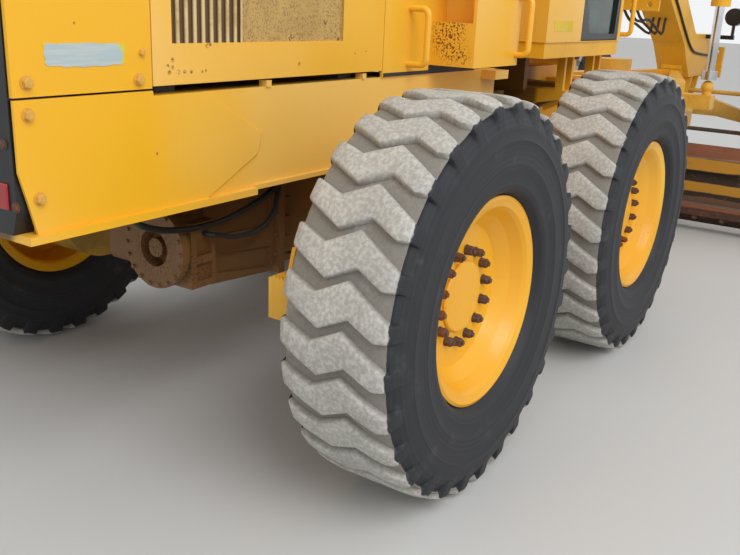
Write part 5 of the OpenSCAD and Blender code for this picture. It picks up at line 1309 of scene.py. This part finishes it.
# Floor, light and camera
class GRADER_OT_stage(bpy.types.Operator):
    """Makes the plain floor, the soft lights and the camera of the photograph"""
    bl_idname = "grader.stage"
    bl_label = "Stage"

    def execute(self, context):
        stage = settings("stage")
        scene = context.scene
        scene.view_settings.view_transform = "Standard"
        self.plain_floor(stage.floor)
        self.light_world(scene, stage.sky)
        self.lamp("key lamp", (-6.5, -8.0, 8.5), (-2.4, -0.6, 0.8), stage.key)
        self.lamp("fill lamp", (7.0, 8.0, 7.0), (0.0, 0.0, 1.0), stage.fill)
        self.place_camera(scene)
        return {"FINISHED"}

    def plain_floor(self, colour):
        """A large floor, its tone slightly uneven."""
        mesh = bpy.data.meshes.new("floor")
        size = 60.0
        corners = [(-size, -size, 0), (size, -size, 0), (size, size, 0), (-size, size, 0)]
        mesh.from_pydata(corners, [], [(0, 1, 2, 3)])
        floor = bpy.data.objects.new("floor", mesh)
        bpy.context.scene.collection.objects.link(floor)
        look = Look("plain floor", rough=0.9)
        tone = look.mix(look.noise(0.6, 3), tuple(c * 0.985 for c in colour), colour)
        mesh.materials.append(look.finish(tone))

    def light_world(self, scene, strength):
        """Even white light, with a pale grey background for the camera, glass and gloss."""
        world = bpy.data.worlds.new("even sky")
        world.use_nodes = True
        tree = world.node_tree
        sky = tree.nodes["Background"]
        sky.inputs["Color"].default_value = (1.0, 1.0, 1.0, 1.0)
        sky.inputs["Strength"].default_value = strength
        background = add_node(tree, "ShaderNodeBackground", {"Color": (0.90, 0.91, 0.92)}).outputs[0]
        rays = tree.nodes.new("ShaderNodeLightPath").outputs
        seen = rays["Is Camera Ray"]
        for kind in ("Is Transmission Ray", "Is Glossy Ray"):
            either = add_node(tree, "ShaderNodeMath", {0: seen, 1: rays[kind]}, operation="MAXIMUM")
            seen = either.outputs[0]
        blend = add_node(tree, "ShaderNodeMixShader", {0: seen, 1: sky.outputs[0], 2: background})
        tree.links.new(blend.outputs[0], tree.nodes["World Output"].inputs["Surface"])
        scene.world = world

    def lamp(self, name, place, aim, power):
        """A large square lamp that is aimed at a point."""
        data = bpy.data.lights.new(name, "AREA")
        data.energy = power
        data.size = 7.0
        lamp = bpy.data.objects.new(name, data)
        lamp.location = place
        lamp.rotation_euler = (Vector(aim) - Vector(place)).to_track_quat("-Z", "Y").to_euler()
        bpy.context.scene.collection.objects.link(lamp)

    def place_camera(self, scene):
        """The photograph's camera, as fitted to the outlines of the two right tandem wheels."""
        place = (-5.619, -2.3655, 1.5712)
        yaw, pitch, roll = (math.radians(a) for a in (33.335, 17.901, 2.590))
        data = bpy.data.cameras.new("photograph camera")
        data.sensor_width = 36.0
        data.lens = 41.19
        data.clip_end = 200.0
        camera = bpy.data.objects.new("photograph camera", data)
        scene.collection.objects.link(camera)
        ahead = Vector((math.cos(pitch) * math.cos(yaw), math.cos(pitch) * math.sin(yaw),
                        -math.sin(pitch)))
        level = ahead.cross(Vector((0, 0, 1))).normalized()
        up = level.cross(ahead)
        right = level * math.cos(roll) + up * math.sin(roll)
        top = up * math.cos(roll) - level * math.sin(roll)
        turn = Matrix((right, top, -ahead)).transposed().to_4x4()
        camera.matrix_world = Matrix.Translation(place) @ turn
        scene.camera = camera


class GRADER_PT_panel(bpy.types.Panel):
    """Lists the pieces of the grader's dressing"""
    bl_idname = "GRADER_PT_panel"
    bl_label = "Grader"
    bl_space_type = "VIEW_3D"
    bl_region_type = "UI"
    bl_category = "Grader"

    def draw(self, context):
        for step in STEPS:
            self.layout.operator(step.bl_idname)


GROUPS = {
    "wheels": WheelSettings, "paint": PaintSettings, "hardware": HardwareSettings, "stage": StageSettings,
}
STEPS = (
    GRADER_OT_stage, GRADER_OT_finishes, GRADER_OT_tyres, GRADER_OT_wheel_nuts, GRADER_OT_panel_bolts,
    GRADER_OT_labels, GRADER_OT_lamps, GRADER_OT_cab_fittings, GRADER_OT_body_fittings,
)


def register():
    for item in (*GROUPS.values(), *STEPS, GRADER_PT_panel):
        bpy.utils.register_class(item)
    for name, group in GROUPS.items():
        setattr(bpy.types.Scene, "grader_" + name, PointerProperty(type=group))


def unregister():
    for name in GROUPS:
        delattr(bpy.types.Scene, "grader_" + name)
    for item in (GRADER_PT_panel, *STEPS[::-1], *GROUPS.values()):
        bpy.utils.unregister_class(item)


def main():
    register()
    grader = bpy.ops.grader
    grader.stage()
    grader.finishes()
    grader.tyres()
    grader.wheel_nuts()
    grader.panel_bolts()
    grader.labels()
    grader.lamps()
    grader.cab_fittings()
    grader.body_fittings()


if __name__ == "__main__":
    main()
